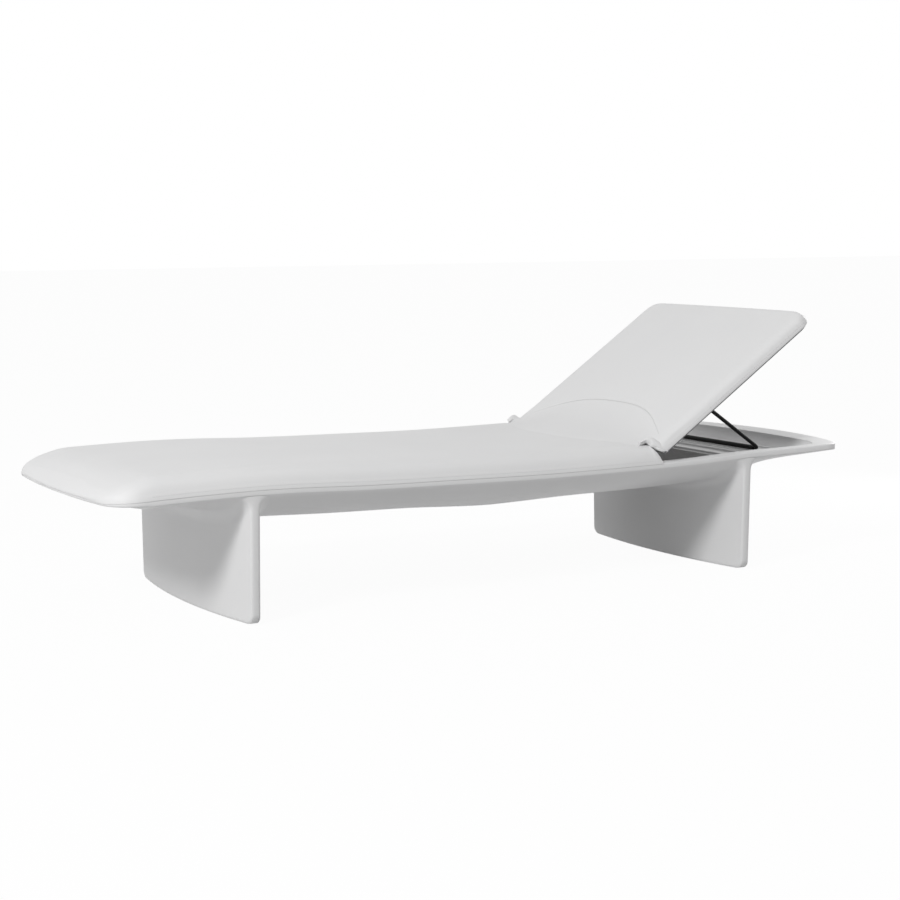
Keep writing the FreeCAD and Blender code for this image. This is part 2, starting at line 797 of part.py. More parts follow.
# Brackets under the back board, with flanged bushes for the prop's stubs
pivot_x = hinge_x + prop_pivot_along
pivot_z = hinge_z - prop_pivot_drop
brackets = []
bushes = []
bracket_screws = []
ear_y = prop_y + ear_offset
ear = box(pivot_x - ear_radius, pivot_x + ear_radius, ear_y, ear_y + ear_thickness, pivot_z, hinge_z)
ear = ear.fuse(rod(ear_radius, V(pivot_x, ear_y, pivot_z), V(pivot_x, ear_y + ear_thickness, pivot_z)))
plate_x0 = pivot_x - bracket_length / 2
plate_x1 = plate_x0 + bracket_length
plate = box(plate_x0, plate_x1, ear_y, ear_y + bracket_width, hinge_z - ear_thickness, hinge_z)
bracket = ear.fuse(plate)
eye_start = V(pivot_x, ear_y - bush_flange, pivot_z)
eye_end = V(pivot_x, ear_y + ear_thickness, pivot_z)
bracket = bracket.cut(rod(bush_radius + fit_gap, eye_start, eye_end))
bush_collar = rod(bush_flange_radius, eye_start, V(pivot_x, ear_y, pivot_z))
bush = rod(bush_radius, eye_start, eye_end).fuse(bush_collar)
bush = bush.cut(rod(rod_radius + rod_play, eye_start, eye_end))
for x in (pivot_x - bracket_length / 3, pivot_x + bracket_length / 3):
    tip = V(x, ear_y + (bracket_width + ear_thickness) / 2, hinge_z + bracket_screw_length)
    depth = ear_thickness + bracket_screw_length
    fixing = screw(bracket_screw_radius, bracket_screw_head, bracket_screw_rise, depth, tip, V(0, 0, -1))
    bracket_screws.append(fixing)
    hole = rod(bracket_screw_radius + fit_gap, tip, tip - V(0, 0, depth))
    bracket = bracket.cut(hole)
    for part_hole in both_sides([hole]):
        back_board = back_board.cut(part_hole)

# Prop frame: two bent struts plugged into a crossbar tube
pivot = back_point(prop_pivot_along, -prop_pivot_drop, prop_y)
bar = V(bar_x, prop_y, bar_z)
along = (bar - pivot).normalize()
across = V(0, 1, 0)


def bend(corner, before, after, radius):
    # A quarter turn between two square directions, as its start, its middle and its end.
    start = corner - before * radius
    end = corner + after * radius
    centre = start + after * radius
    outward = (corner - centre).normalize()
    return Part.Arc(start, centre + outward * radius, end).toShape()


stub_end = pivot + across * stub_reach
top_bend = bend(pivot, across * -1, along, stub_bend)
low_bend = bend(bar, along, across * -1, strut_bend)
spigot_end = bar - across * (strut_bend + spigot_length)
route = ring([
    Part.makeLine(stub_end, pivot + across * stub_bend),
    top_bend,
    Part.makeLine(pivot + along * stub_bend, bar - along * strut_bend),
    low_bend,
    Part.makeLine(bar - across * strut_bend, spigot_end),
])
profile = ring([Part.makeCircle(rod_radius, stub_end, across)])
strut = route.makePipeShell([profile], True, False)
bar_half = prop_y - strut_bend
bar_low = V(bar_x, -bar_half, bar_z)
bar_high = V(bar_x, bar_half, bar_z)
crossbar = rod(bar_radius, bar_low, bar_high).cut(rod(rod_radius + bar_play, bar_low, bar_high))
clip_start = pivot + across * (ear_offset + ear_thickness + clip_gap)
clip_end = clip_start + across * clip_thickness
clip = rod(clip_radius, clip_start, clip_end).cut(rod(rod_radius + fit_gap, clip_start, clip_end))

# Fold of the pads' cover across the hinge, drawn round the hinge line in the raised pose
fold_y = -cover_half_width
foot_side = V(hinge_x - fold_reach, fold_y, hinge_z + fold_low_share * fold_rise)
head_side = V(hinge_x + fold_reach, fold_y, hinge_z + fold_low_share * fold_rise)
crest = [V(hinge_x + a * fold_reach, fold_y, hinge_z + b * fold_rise) for a, b in fold_crest_shares]
lap = [V(hinge_x + a * fold_reach, fold_y, hinge_z + b * fold_rise) for a, b in fold_lap_shares]
fold_outline = ring([
    Part.makeLine(foot_side, crest[0]),
    Part.Arc(*crest).toShape(),
    Part.makeLine(crest[-1], lap[0]),
    Part.Arc(*lap).toShape(),
    Part.makeLine(lap[-1], head_side),
    Part.makeLine(head_side, foot_side),
])
fold = Part.Face(fold_outline).extrude(V(0, 2 * cover_half_width, 0))
fold_edge = board_half + running_gap
fold_low = hinge_z - fold_rise
board_room = deck_z(board_end) + board_high + running_gap
board_side = board_end + running_gap
fold = fold.cut(box(hinge_x - fold_reach, board_side, -fold_edge, fold_edge, fold_low, board_room))
for side_y in (-hinge_y, hinge_y):
    window = leaf_half + pin_head_height + running_gap
    low = V(hinge_x, side_y - window, hinge_z)
    y0, y1 = side_y - window, side_y + window
    plate_top = hinge_z + running_gap
    fold = fold.cut(rod(knuckle_radius + running_gap, low, low + V(0, 2 * window, 0)))
    fold = fold.cut(box(hinge_x - fold_reach, hinge_x, y0, y1, fold_low, leaf_top + running_gap))
    fold = fold.cut(raised(box(hinge_x, hinge_x + 2 * fold_reach, y0, y1, fold_low, plate_top)))

save("base_shell", [shell])
for name, leg in legs.items():
    save(name, [leg])
save("leg_bolts", leg_bolts)
save("leg_washers", leg_washers)
save("leg_inserts", leg_inserts)
save("foot_glides", glides)
save("seat_board", [seat_board])
save("seat_battens", battens)
save("seat_board_screws", seat_screws)
save("seat_pad", [seat_pad])
save("seat_pad_strips", seat_strips)
save("seat_hinge_leaves", seat_leaves)
save("seat_hinge_screws", seat_hinge_screws)
save("hinge_pins", hinge_pins)
save("cover_fold", [fold])
save("back_board", [raised(back_board)])
save("back_pad", [raised(back_pad)])
save("back_pad_strips", [raised(strip) for strip in back_strips])
save("back_buffers", [raised(buffer) for buffer in buffers])
save("back_hinge_leaves", [raised(piece) for piece in back_leaves])
save("back_hinge_screws", [raised(piece) for piece in back_hinge_screws])
save("prop_brackets", both_sides([raised(bracket)]))
save("bracket_screws", both_sides([raised(piece) for piece in bracket_screws]))
save("pivot_bushes", both_sides([raised(bush)]))
save("prop_strut_left", [strut])
save("prop_strut_right", [mirrored(strut)])
save("prop_crossbar", [crossbar])
save("stub_clips", both_sides([clip]))
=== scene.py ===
# %% [markdown]
# # A white relaxation lounger
# The lounger is a boat-shaped moulding on two lens-shaped legs. A long soft pad lies on
# it, and a hinged back section is propped up by a thin black rod frame.
# The solids of the mechanism are loaded first: they fix every size and every place.
# Blender adds what such a product looks like: the seamless moulding, the soft covers
# and the finish of each surface.

# %% Load the measured parts
import json
import math

import bpy
import bmesh
import numpy as np
from mathutils import Matrix, Vector


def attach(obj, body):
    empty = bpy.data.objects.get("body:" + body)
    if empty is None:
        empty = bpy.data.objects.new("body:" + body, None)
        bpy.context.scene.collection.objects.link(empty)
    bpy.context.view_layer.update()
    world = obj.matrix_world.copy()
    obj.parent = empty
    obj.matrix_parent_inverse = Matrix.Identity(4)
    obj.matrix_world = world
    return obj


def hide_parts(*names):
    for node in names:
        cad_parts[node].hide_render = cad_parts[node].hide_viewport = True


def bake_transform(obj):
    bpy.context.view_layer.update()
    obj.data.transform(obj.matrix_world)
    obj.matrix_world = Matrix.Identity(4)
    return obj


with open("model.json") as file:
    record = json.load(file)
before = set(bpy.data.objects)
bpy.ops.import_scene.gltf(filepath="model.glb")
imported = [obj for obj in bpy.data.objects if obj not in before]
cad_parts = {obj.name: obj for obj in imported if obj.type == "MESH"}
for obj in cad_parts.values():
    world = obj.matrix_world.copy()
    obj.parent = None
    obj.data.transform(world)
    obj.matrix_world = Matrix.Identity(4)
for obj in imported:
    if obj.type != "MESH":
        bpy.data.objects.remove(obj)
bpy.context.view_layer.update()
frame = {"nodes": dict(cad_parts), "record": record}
nodes = frame["nodes"]
MM = 0.001


def new_object(name, data):
    """A new object with the given data, put in the scene."""
    made = bpy.data.objects.new(name, data)
    bpy.context.scene.collection.objects.link(made)
    return made


def evaluated_mesh(piece):
    """A new mesh of the piece with its modifiers applied."""
    return bpy.data.meshes.new_from_object(piece.evaluated_get(bpy.context.evaluated_depsgraph_get()))


# %% [markdown]
# ## The camera
# A product photograph is taken from a few metres away with a long lens, so that the near
# end doesn't look swollen. The camera stands at the foot end, a little above the pads.
# Three angles turn it: yaw towards the head end, a slight look down, and almost no roll.

# %% Camera
camera_place = Vector((-2.3378, -4.1681, 0.8844))
camera_yaw = 0.5112
camera_pitch = 0.1192
camera_roll = -0.0046
sensor_width = 36.0
picture_width = 900
focal_share = 1923.97 / picture_width


def camera_axes(yaw, pitch, roll):
    """The camera's right, its up and its back."""
    level = math.cos(pitch)
    forward = Vector((math.sin(yaw) * level, math.cos(yaw) * level, -math.sin(pitch)))
    right = Vector((math.cos(yaw), -math.sin(yaw), 0.0))
    up = right.cross(forward)
    turned_right = right * math.cos(roll) + up * math.sin(roll)
    turned_up = up * math.cos(roll) - right * math.sin(roll)
    return turned_right, turned_up, -forward


lens_data = bpy.data.cameras.new("camera")
lens_data.sensor_width = sensor_width
lens_data.lens = sensor_width * focal_share
camera = new_object("camera", lens_data)
axes = camera_axes(camera_yaw, camera_pitch, camera_roll)
turn = Matrix([list(axis) for axis in axes]).transposed()
camera.matrix_world = Matrix.Translation(camera_place) @ turn.to_4x4()
bpy.context.scene.camera = camera
print("lens:", round(lens_data.lens, 1), "mm")

# %% [markdown]
# ## Writing materials as sums
# A material is a tree of nodes, but a pattern reads best as a sum. A small class wraps one
# node socket, and adding or multiplying two of them adds the Math node that does it.


# %% Sockets that can be added and multiplied
class Wire:
    """One socket of a node, with operators that add Math nodes."""

    def __init__(self, tree, socket):
        self.tree = tree
        self.socket = socket

    def _math(self, operation, a, b):
        node = self.tree.nodes.new("ShaderNodeMath")
        node.operation = operation
        for slot, value in zip(node.inputs, (a, b)):
            if isinstance(value, Wire):
                self.tree.links.new(value.socket, slot)
            else:
                slot.default_value = value
        return Wire(self.tree, node.outputs[0])

    def __add__(self, other):
        return self._math("ADD", self, other)

    def __sub__(self, other):
        return self._math("SUBTRACT", self, other)

    def __rsub__(self, other):
        return self._math("SUBTRACT", other, self)

    def __mul__(self, other):
        return self._math("MULTIPLY", self, other)

    __radd__ = __add__
    __rmul__ = __mul__


# %% A finish: one material and a helper that adds any other node
class Finish:
    """A material whose shader is fed by other nodes."""

    def __init__(self, name, **uniform):
        self.material = bpy.data.materials.new(name)
        self.material.use_nodes = True
        self.tree = self.material.node_tree
        self.shader = self.tree.nodes["Principled BSDF"]
        for key, value in uniform.items():
            self.shader.inputs[key.replace("_", " ")].default_value = value
        self.place = self.node("ShaderNodeTexCoord")["Object"]

    def node(self, kind, settings=None, **values):
        """Adds any node, fills its inputs by name, and returns its outputs by name."""
        made = self.tree.nodes.new(kind)
        for key, value in (settings or {}).items():
            setattr(made, key, value)
        for key, value in values.items():
            wanted = key.replace("_", " ")
            socket = next(s for s in made.inputs if s.name == wanted and s.enabled)
            if isinstance(value, Wire):
                self.tree.links.new(value.socket, socket)
            else:
                socket.default_value = value
        return {out.name: Wire(self.tree, out) for out in made.outputs if out.enabled}

    def noise(self, scale, detail=2.0, place=None):
        made = self.node("ShaderNodeTexNoise", Vector=place or self.place, Scale=scale, Detail=detail)
        return made.get("Fac") or made["Factor"]

    def colours(self, share, first, second):
        settings = {"data_type": "RGBA"}
        return self.node("ShaderNodeMix", settings, Factor=share, A=(*first, 1), B=(*second, 1))["Result"]

    def feed(self, name, value):
        self.tree.links.new(value.socket, self.shader.inputs[name])

    def bump(self, height, distance, strength=1.0):
        made = self.node("ShaderNodeBump", Height=height, Distance=distance, Strength=strength)
        self.feed("Normal", made["Normal"])


# %% [markdown]
# ## The finishes
# The moulding is a satin white polymer, almost smooth, with the faint unevenness that
# sanding leaves. The cover is a soft white coated fabric with a fine pebbled grain.
# Steel parts are powder coated black or left plain, and the boards are plywood.

# %% Moulding and cover
moulding = Finish("satin_white_moulding", Coat_Weight=0.05, Coat_Roughness=0.4)
clouds = moulding.noise(3.0, 3.0)
moulding.feed("Base Color", moulding.colours(clouds, (0.775, 0.775, 0.777), (0.745, 0.745, 0.748)))
moulding.feed("Roughness", clouds * 0.10 + 0.40)
moulding.bump(moulding.noise(14.0, 2.0) * 0.6 + moulding.noise(900.0) * 0.02, 0.0006, 0.5)

cover = Finish("white_coated_cover", Sheen_Weight=0.10)
smooth_cells = {"feature": "SMOOTH_F1"}
pebbles = cover.node("ShaderNodeTexVoronoi", smooth_cells, Vector=cover.place, Scale=420.0)["Distance"]
patches = cover.noise(5.0, 3.0)
cover.feed("Base Color", cover.colours(patches, (0.80, 0.80, 0.80), (0.775, 0.775, 0.78)))
cover.feed("Roughness", patches * 0.12 + 0.52)
cover.bump(pebbles * 0.7 + cover.noise(1500.0) * 0.3 + cover.noise(22.0) * 2.0, 0.00025, 0.7)


# %% Small parts: coated steel, plain steel, rubber, bushes, strips and boards
def mottled(name, colour, shade, roughness, metallic=0.0, scale=60.0, grain=0.0002, shine=0.5):
    """A finish that wavers between two near colours, with a fine grain."""
    made = Finish(name, Metallic=metallic, Specular_IOR_Level=shine)
    mottle = made.noise(scale, 3.0)
    made.feed("Base Color", made.colours(mottle, colour, shade))
    made.feed("Roughness", mottle * 0.16 + (roughness - 0.08))
    made.bump(made.noise(scale * 12), grain, 0.5)
    return made


black_coat = mottled("black_powder_coat", (0.004, 0.004, 0.0042), (0.007, 0.007, 0.0072), 0.55, shine=0.2)
steel = mottled("plain_steel", (0.52, 0.53, 0.54), (0.44, 0.45, 0.46), 0.30, metallic=1.0)
rubber = mottled("black_rubber", (0.030, 0.030, 0.031), (0.042, 0.042, 0.043), 0.75)
bush = mottled("black_bush", (0.022, 0.022, 0.023), (0.03, 0.03, 0.031), 0.35)
strip = mottled("grip_strip", (0.05, 0.05, 0.052), (0.09, 0.09, 0.092), 0.9, scale=700.0, grain=0.0006)
dark_board = mottled("dark_board", (0.16, 0.16, 0.163), (0.20, 0.20, 0.204), 0.6, scale=30.0)

plywood = Finish("sealed_plywood")
stretched = plywood.node("ShaderNodeMapping", Vector=plywood.place, Scale=(2.0, 40.0, 400.0))["Vector"]
grain = plywood.noise(1.0, 5.0, stretched)
plywood.feed("Base Color", plywood.colours(grain, (0.62, 0.47, 0.30), (0.42, 0.29, 0.17)))
plywood.feed("Roughness", grain * 0.2 + 0.4)
plywood.bump(grain, 0.0004, 0.4)

finish_of_slot = {
    "white_moulding": moulding,
    "white_cover": cover,
    "plywood": plywood,
    "dark_board": dark_board,
    "steel": steel,
    "black_steel": black_coat,
    "bush_plastic": bush,
    "rubber": rubber,
    "grip_strip": strip,
}
slot_of_node = {s["node"]: s["material_slot"] for s in frame["record"]["subparts"]}
for name, part in nodes.items():
    part.data.materials.clear()
    part.data.materials.append(finish_of_slot[slot_of_node[name]].material)
print("finishes:", len(finish_of_slot))

# %% [markdown]
# ## Sizes of the moulding
# The same sizes shape the solids and this surface, so that both lie in the same place.
# Lengths are in millimetres here and become metres when a mesh is made. The form lines
# are drawn round their own middle, and every mesh is moved on so that the origin is
# under the middle of the lounger.

# %% Sizes
foot_length = 1035.0
head_length = 1013.0
half_width = 345.0
foot_end_radius = 2600.0
head_end_radius = 1000.0
foot_corner_radius = 78.0
head_corner_radius = 55.0
to_middle = (foot_length - head_length) / 2
deck_low = 287.0
deck_swing = 18.0
rim_band = 14.0
toe_band = 2.5
toe_length = 110.0
toe_keel_share = 0.1
keel_depth = 84.0
keel_run = 345.0
shell_wall = 6.0
flange_width = 42.0
front_leg_x = -690.0
rear_leg_x = 656.0
tray_foot_x = -965.0
tray_head_x = 938.0
tray_end_run = 60.0
tray_corner = 60.0
hinge_x = 381.5
hinge_z = 296.0
back_angle = math.radians(34.5)

# %% Form lines
deck_line_shares = [
    (-1.0, 0.12), (-0.93, 0.45), (-0.84, 0.66), (-0.70, 0.83), (-0.58, 0.79), (-0.40, 0.42), (-0.20, 0.21),
    (0.06, 0.0), (0.34, 0.10), (0.50, 0.30), (0.64, 0.66), (0.79, 0.78), (0.89, 0.95), (1.0, 1.05),
]
keel_line_shares = [
    (-3.2, 1.0), (-2.0, 1.08), (-1.3, 1.0), (-0.25, 1.0), (-0.05, 0.96), (0.09, 0.78), (0.20, 0.57), (0.30, 0.45),
    (0.46, 0.35), (0.72, 0.28), (1.0, 0.14), (1.2, 0.08),
]
flank_poles = [(1.0, 0.0), (0.87, 0.62), (0.56, 1.0), (0.0, 1.0)]


def form_line(stations, x):
    """A smooth curve through the stations, with slopes taken from their neighbours."""
    xs = np.array([s[0] for s in stations])
    ys = np.array([s[1] for s in stations])
    low = np.maximum(np.arange(len(xs)) - 1, 0)
    high = np.minimum(np.arange(len(xs)) + 1, len(xs) - 1)
    slopes = (ys[high] - ys[low]) / (xs[high] - xs[low])
    x = np.clip(x, xs[0], xs[-1])
    i = np.clip(np.searchsorted(xs, x, side="right") - 1, 0, len(xs) - 2)
    run = xs[i + 1] - xs[i]
    t = (x - xs[i]) / run
    level = (2 * t**3 - 3 * t**2 + 1) * ys[i] + (3 * t**2 - 2 * t**3) * ys[i + 1]
    return level + run * ((t**3 - 2 * t**2 + t) * slopes[i] + (t**3 - t**2) * slopes[i + 1])


def deck_z(x):
    """Height of the deck line."""
    return deck_low + deck_swing * form_line(deck_line_shares, np.asarray(x, float) / foot_length)


def past_toe(x):
    """Share of the toe's length that lies behind a place, from 0 to 1."""
    return np.clip((np.asarray(x, float) + foot_length) / toe_length, 0, 1)


def band_height(x):
    """Height of the rim's upright band."""
    return toe_band + (rim_band - toe_band) * past_toe(x)


def keel_drop(x):
    """Depth of the belly below the rim's band, on the middle line."""
    x = np.asarray(x, float)
    past_leg = np.where(x > 0, x - rear_leg_x, front_leg_x - x)
    toe = toe_keel_share + (1 - toe_keel_share) * past_toe(x)
    return keel_depth * form_line(keel_line_shares, past_leg / keel_run) * toe


steps = np.linspace(0.0, 1.0, 400)
weights = [(1 - steps) ** 3, 3 * steps * (1 - steps) ** 2, 3 * steps**2 * (1 - steps), steps**3]
flank_out = sum(w * p[0] for w, p in zip(weights, flank_poles))
flank_down = sum(w * p[1] for w, p in zip(weights, flank_poles))


def flank_drop(out):
    """How far down a boat section is, as a share, at a share of its half width."""
    return np.interp(np.abs(out), flank_out[::-1], flank_down[::-1])


def hull_z(x, y):
    """Height of the belly's outer face."""
    return deck_z(x) - band_height(x) - keel_drop(x) * flank_drop(np.asarray(y, float) / half_width)


def quarter(share):
    """Height of a quarter circle at a share of its run."""
    return np.sqrt(1 - (1 - np.clip(share, 0, 1)) ** 2)


def smooth_step(low, high, x):
    """Rises smoothly from 0 at low to 1 at high."""
    t = np.clip((np.asarray(x, float) - low) / (high - low), 0, 1)
    return t * t * (3 - 2 * t)


print("rim height at the ends:", float(deck_z(-foot_length)), float(deck_z(head_length)))

# %% [markdown]
# ## Rows across the outline
# Seen from above, the lounger is a long rectangle with bowed ends and round corners. Each
# row of the mesh crosses it from side to side. Near an end the rows bow like the end does,
# and their side points walk round the corner, so that no row gets squeezed to nothing.


# %% Rows
foot_bow_run = 160.0
head_bow_run = 90.0


def end_outline(share, sign):
    """A row's side point, its outward direction and its middle, at a share round a corner."""
    radius = foot_end_radius if sign < 0 else head_end_radius
    corner = foot_corner_radius if sign < 0 else head_corner_radius
    length = foot_length if sign < 0 else head_length
    reach = radius - corner
    corner_y = half_width - corner
    corner_x = length - radius + math.sqrt(reach**2 - corner_y**2)
    first = math.asin(corner_y / reach)
    turn = first + (math.pi / 2 - first) * share
    bow = length - corner_x - corner * math.cos(first)
    middle = length - (length - corner_x - 0.9 * bow) * share
    side_x = corner_x + corner * math.cos(turn)
    side_y = corner_y + corner * math.sin(turn)
    return sign * side_x, side_y, sign * math.cos(turn), math.sin(turn), sign * middle


def outline_rows(body_step=16.0, extra=()):
    """Rows from foot to head: side x, side y, outward x, outward y, middle x."""
    shares = np.linspace(0, 1, 15) ** 1.15
    foot = [end_outline(s, -1) for s in shares]
    head = [end_outline(s, 1) for s in shares]
    x0, x1 = foot[-1][4], head[-1][4]
    inner = [x for x in extra if x0 + 1 < x < x1 - 1]
    middles = sorted(set(np.linspace(x0, x1, int((x1 - x0) / body_step))[1:-1]) | set(inner))
    rows = list(foot)
    for x in middles:
        foot_bow = (foot[-1][0] - foot[-1][4]) * max(0.0, 1 - (x - x0) / foot_bow_run) ** 2
        head_bow = (head[-1][0] - head[-1][4]) * max(0.0, 1 - (x1 - x) / head_bow_run) ** 2
        rows.append((x + foot_bow + head_bow, half_width, 0.0, 1.0, x))
    return rows + head[::-1]


def mesh_object(name, points, faces, finish, smooth_angle=40.0):
    """A mesh piece from millimetre points, smooth but for its hard edges."""
    places = (np.asarray(points, float) + [to_middle, 0, 0]) * MM
    data = bpy.data.meshes.new(name)
    data.from_pydata(places.tolist(), [], [tuple(f) for f in faces])
    work = bmesh.new()
    work.from_mesh(data)
    bmesh.ops.remove_doubles(work, verts=work.verts, dist=0.00002)
    bmesh.ops.dissolve_degenerate(work, edges=work.edges, dist=0.00002)
    bmesh.ops.recalc_face_normals(work, faces=work.faces)
    for face in work.faces:
        face.smooth = True
    for edge in work.edges:
        if len(edge.link_faces) == 2 and edge.calc_face_angle(0.0) > math.radians(smooth_angle):
            edge.smooth = False
    work.to_mesh(data)
    open_edges = sum(1 for edge in work.edges if len(edge.link_faces) != 2)
    work.free()
    data.materials.append(finish.material)
    piece = new_object(name, data)
    print(name, "faces:", len(data.polygons), "open edges:", open_edges)
    return piece


def ladder(count_rows, count_columns, first=0, closed=False):
    """Quads between neighbouring rows of points."""
    faces = []
    for i in range(count_rows - 1):
        for j in range(count_columns if closed else count_columns - 1):
            a = first + i * count_columns + j
            b = first + i * count_columns + (j + 1) % count_columns
            faces.append((a, b, b + count_columns, a + count_columns))
    return faces


# %% [markdown]
# ## The moulding
# The real shell is cast in one piece: a deck rim with a soft edge, a boat-shaped belly, and
# an open tray whose raised floor carries rounded ribs for the prop's crossbar. One closed
# loop of points per row goes under the belly, up the rim band, over the rim, and down into
# the tray. The loops are then joined.

# %% The rack's raised floor and its ribs
bar_x = hinge_x + 432.5
bar_z = hinge_z - 12.2
bar_radius = 6.2
bar_gap = 0.6
rib_height = 5.0
rib_pitch = 64.0
rib_past_bar = 16.0
ramp_run = 10.0
rack_half_width = 262.0
rack_top = bar_z - bar_radius - bar_gap - rib_height
rack_start = bar_x + rib_past_bar - 2 * rib_pitch - 20.0
rib_places = [bar_x + rib_past_bar + k * rib_pitch for k in (-2, -1, 0, 1)]
rack_side_share = rack_half_width / (half_width - flange_width)


def rack_floor(x):
    """Height of the rack's floor with its ribs, ramping up where it starts."""
    ramp = rack_top - keel_depth + (x - rack_start + ramp_run) / ramp_run * keel_depth
    ribs = max(float(1 - smooth_step(4.0, 11.0, abs(x - rib))) for rib in rib_places)
    return min(ramp, rack_top + rib_height * ribs)


# %% Shell with its tray
rim_round = 3.5
band_round = 2.5
lip_round = 5.0
side_count = 30
groove_columns = [rack_side_share + 0.002, rack_side_share - 0.002]
tray_columns = np.interp(np.linspace(0, 1, side_count), steps, flank_out)[1:]
inner_outs = sorted(set(tray_columns) | set(groove_columns), reverse=True)


def shell_loop(row, inset, drop, lift):
    """One loop round the shell's section. Inset, drop and lift round off the two ends."""
    side_x, side_y, out_x, out_y, middle = row
    centre = middle - math.copysign(inset, middle)

    def spot(share, edge_inset):
        ex = side_x - out_x * edge_inset
        ey = side_y - out_y * edge_inset
        return centre + (ex - centre) * share**2, ey * share

    points = []
    for share in np.interp(np.linspace(1.0, 0.0, side_count), steps, flank_out):
        x, y = spot(share, band_round)
        points.append((x, y, hull_z(x, y) + lift))
    edge_z = hull_z(side_x, side_y) + lift
    top = deck_z(side_x) - drop
    band = max(top - edge_z, 0.2)
    low_round, high_round = min(band_round, band * 0.4), min(rim_round, band * 0.5)
    for a in np.radians([35.0, 65.0, 90.0]):
        x, y = spot(1.0, low_round * (1 - math.sin(a)))
        points.append((x, y, edge_z + low_round * (1 - math.cos(a))))
    for a in np.radians([0.0, 35.0, 65.0]):
        x, y = spot(1.0, high_round * (1 - math.cos(a)))
        points.append((x, y, top - high_round * (1 - math.sin(a))))
    x, y = spot(1.0, high_round)
    points.append((x, y, deck_z(x) - drop))
    swell = 0.0
    if tray_foot_x < middle < tray_head_x:
        swell = float(quarter(min(middle - tray_foot_x, tray_head_x - middle) / tray_end_run))
    inner = half_width - flange_width - tray_corner * (1 - swell)
    depth = (deck_z(middle) - hull_z(middle, 0.0) - shell_wall) * swell
    lip = min(depth / 20.0, 1.0)
    edge_y = y
    for share in (0.33, 0.67, 1.0):
        y = edge_y + (inner + lip_round * lip - edge_y) * share
        x = spot(y / side_y, 0.0)[0]
        points.append((x, y, deck_z(x) - drop))
    for a in np.radians([35.0, 65.0]):
        y = inner + lip_round * (1 - math.sin(a)) * lip
        x = spot(y / side_y, 0.0)[0]
        points.append((x, y, deck_z(x) - drop - lip_round * (1 - math.cos(a)) * lip))
    for out in [1.0] + inner_outs:
        y = inner * out
        x = spot(y / side_y, 0.0)[0]
        below_lip = max(depth - lip_round * lip, 0.0) * float(flank_drop(out))
        low = deck_z(x) - drop - lip_round * lip - below_lip
        if swell > 0 and middle > rack_start - ramp_run and out < rack_side_share:
            low = max(low, min(rack_floor(middle), deck_z(x) - lip_round * lip))
        points.append((x, y, low))
    return points + [(x, -y, z) for x, y, z in reversed(points[1:-1])]


# %% Join the loops
extra_rows = [rack_start - d for d in (ramp_run, 8.0, 4.0, 1.0, 0.0)]
for rib in rib_places:
    extra_rows += [rib + side * d for side in (-1, 1) for d in (0.0, 2.0, 4.0, 6.0, 7.5, 9.0, 11.0, 13.0)]
for share in (0.005, 0.02, 0.06, 0.12, 0.2, 0.3, 0.42, 0.56, 0.72, 0.88, 1.0):
    extra_rows += [tray_foot_x + share * tray_end_run, tray_head_x - share * tray_end_run]
rows = outline_rows(extra=extra_rows)
start_round = min(rim_round, toe_band * 0.5)
loops = [
    shell_loop(rows[0], start_round * k, start_round * d, start_round * 0.6 * d) for k, d in ((0.0, 1.0), (0.3, 0.3))
]
loops += [shell_loop(rows[0], start_round, 0.0, 0.0)]
loops += [shell_loop(row, 0.0, 0.0, 0.0) for row in rows[1:-1]]
loops += [shell_loop(rows[-1], rim_round, 0.0, 0.0)]
loops += [shell_loop(rows[-1], rim_round * k, rim_round * d, band_round * d) for k, d in ((0.3, 0.3), (0.0, 1.0))]
half_count = len(loops[0]) // 2 + 1
loop_size = len(loops[0])
shell_points = [p for loop in loops for p in loop]
shell_faces = ladder(len(loops), loop_size, closed=True)
print("shell loops:", len(loops), "points each:", loop_size)


# %% Close the two ends of the shell
def zip_chains(low, high):
    """Triangles between two chains of points that run side by side."""
    faces = []
    i = j = 0
    while i < len(low) - 1 or j < len(high) - 1:
        if j >= len(high) - 1 or (i < len(low) - 1 and i / len(low) <= j / len(high)):
            faces.append((low[i], low[i + 1], high[j]))
            i += 1
        else:
            faces.append((low[i], high[j + 1], high[j]))
            j += 1
    return faces


for start in (0, (len(loops) - 1) * loop_size):
    for side in (1, -1):
        chain = [start + (side * k) % loop_size for k in range(half_count)]
        shell_faces += zip_chains(chain[: side_count + 3], chain[side_count + 3:][::-1])

# %% [markdown]
# ## The legs
# Each leg is a blade with a lens-shaped plan: thin rounded edges that lie flush with the rim,
# and a bowed middle. It grows out of the belly with a fillet. Every column of points runs
# from the foot to the belly, and its last points turn outwards on the fillet's arc.

# %% Leg blades
leg_edge = 12.0
leg_middle = 41.0
leg_foot_half_width = 338.0
leg_corner = 22.0
leg_fillet = 30.0
leg_edge_bulge = 9.6
leg_floor = 1.5
leg_bow_half = 335.0
leg_bow = leg_middle - leg_edge
leg_bow_radius = (leg_bow_half**2 + leg_bow**2) / (2 * leg_bow)
leg_overlap = 0.4
foot_round = 3.0
foot_round_share = 0.03
face_count = 56
cap_angles = np.linspace(-math.pi / 2, math.pi / 2, 13)[1:-1]


def leg_outline():
    """Points round a leg: how far across, and the share of its half thickness."""
    straight = half_width - leg_edge_bulge
    across = [straight * s for s in np.sin(np.linspace(-math.pi / 2, math.pi / 2, face_count))]
    ring = [(-y, -1.0) for y in across]
    edge = [(leg_edge_bulge * math.cos(a) ** 0.6, math.copysign(abs(math.sin(a)) ** 0.7, a)) for a in cap_angles]
    ring += [(-straight - out, side) for out, side in edge]
    ring += [(y, 1.0) for y in across]
    ring += [(straight + out, -side) for out, side in edge]
    return ring


def leg_half(y):
    """Half a leg's thickness at a place across."""
    y = min(abs(y), half_width - leg_edge_bulge)
    return leg_middle - (leg_bow_radius - math.sqrt(leg_bow_radius**2 - y**2))


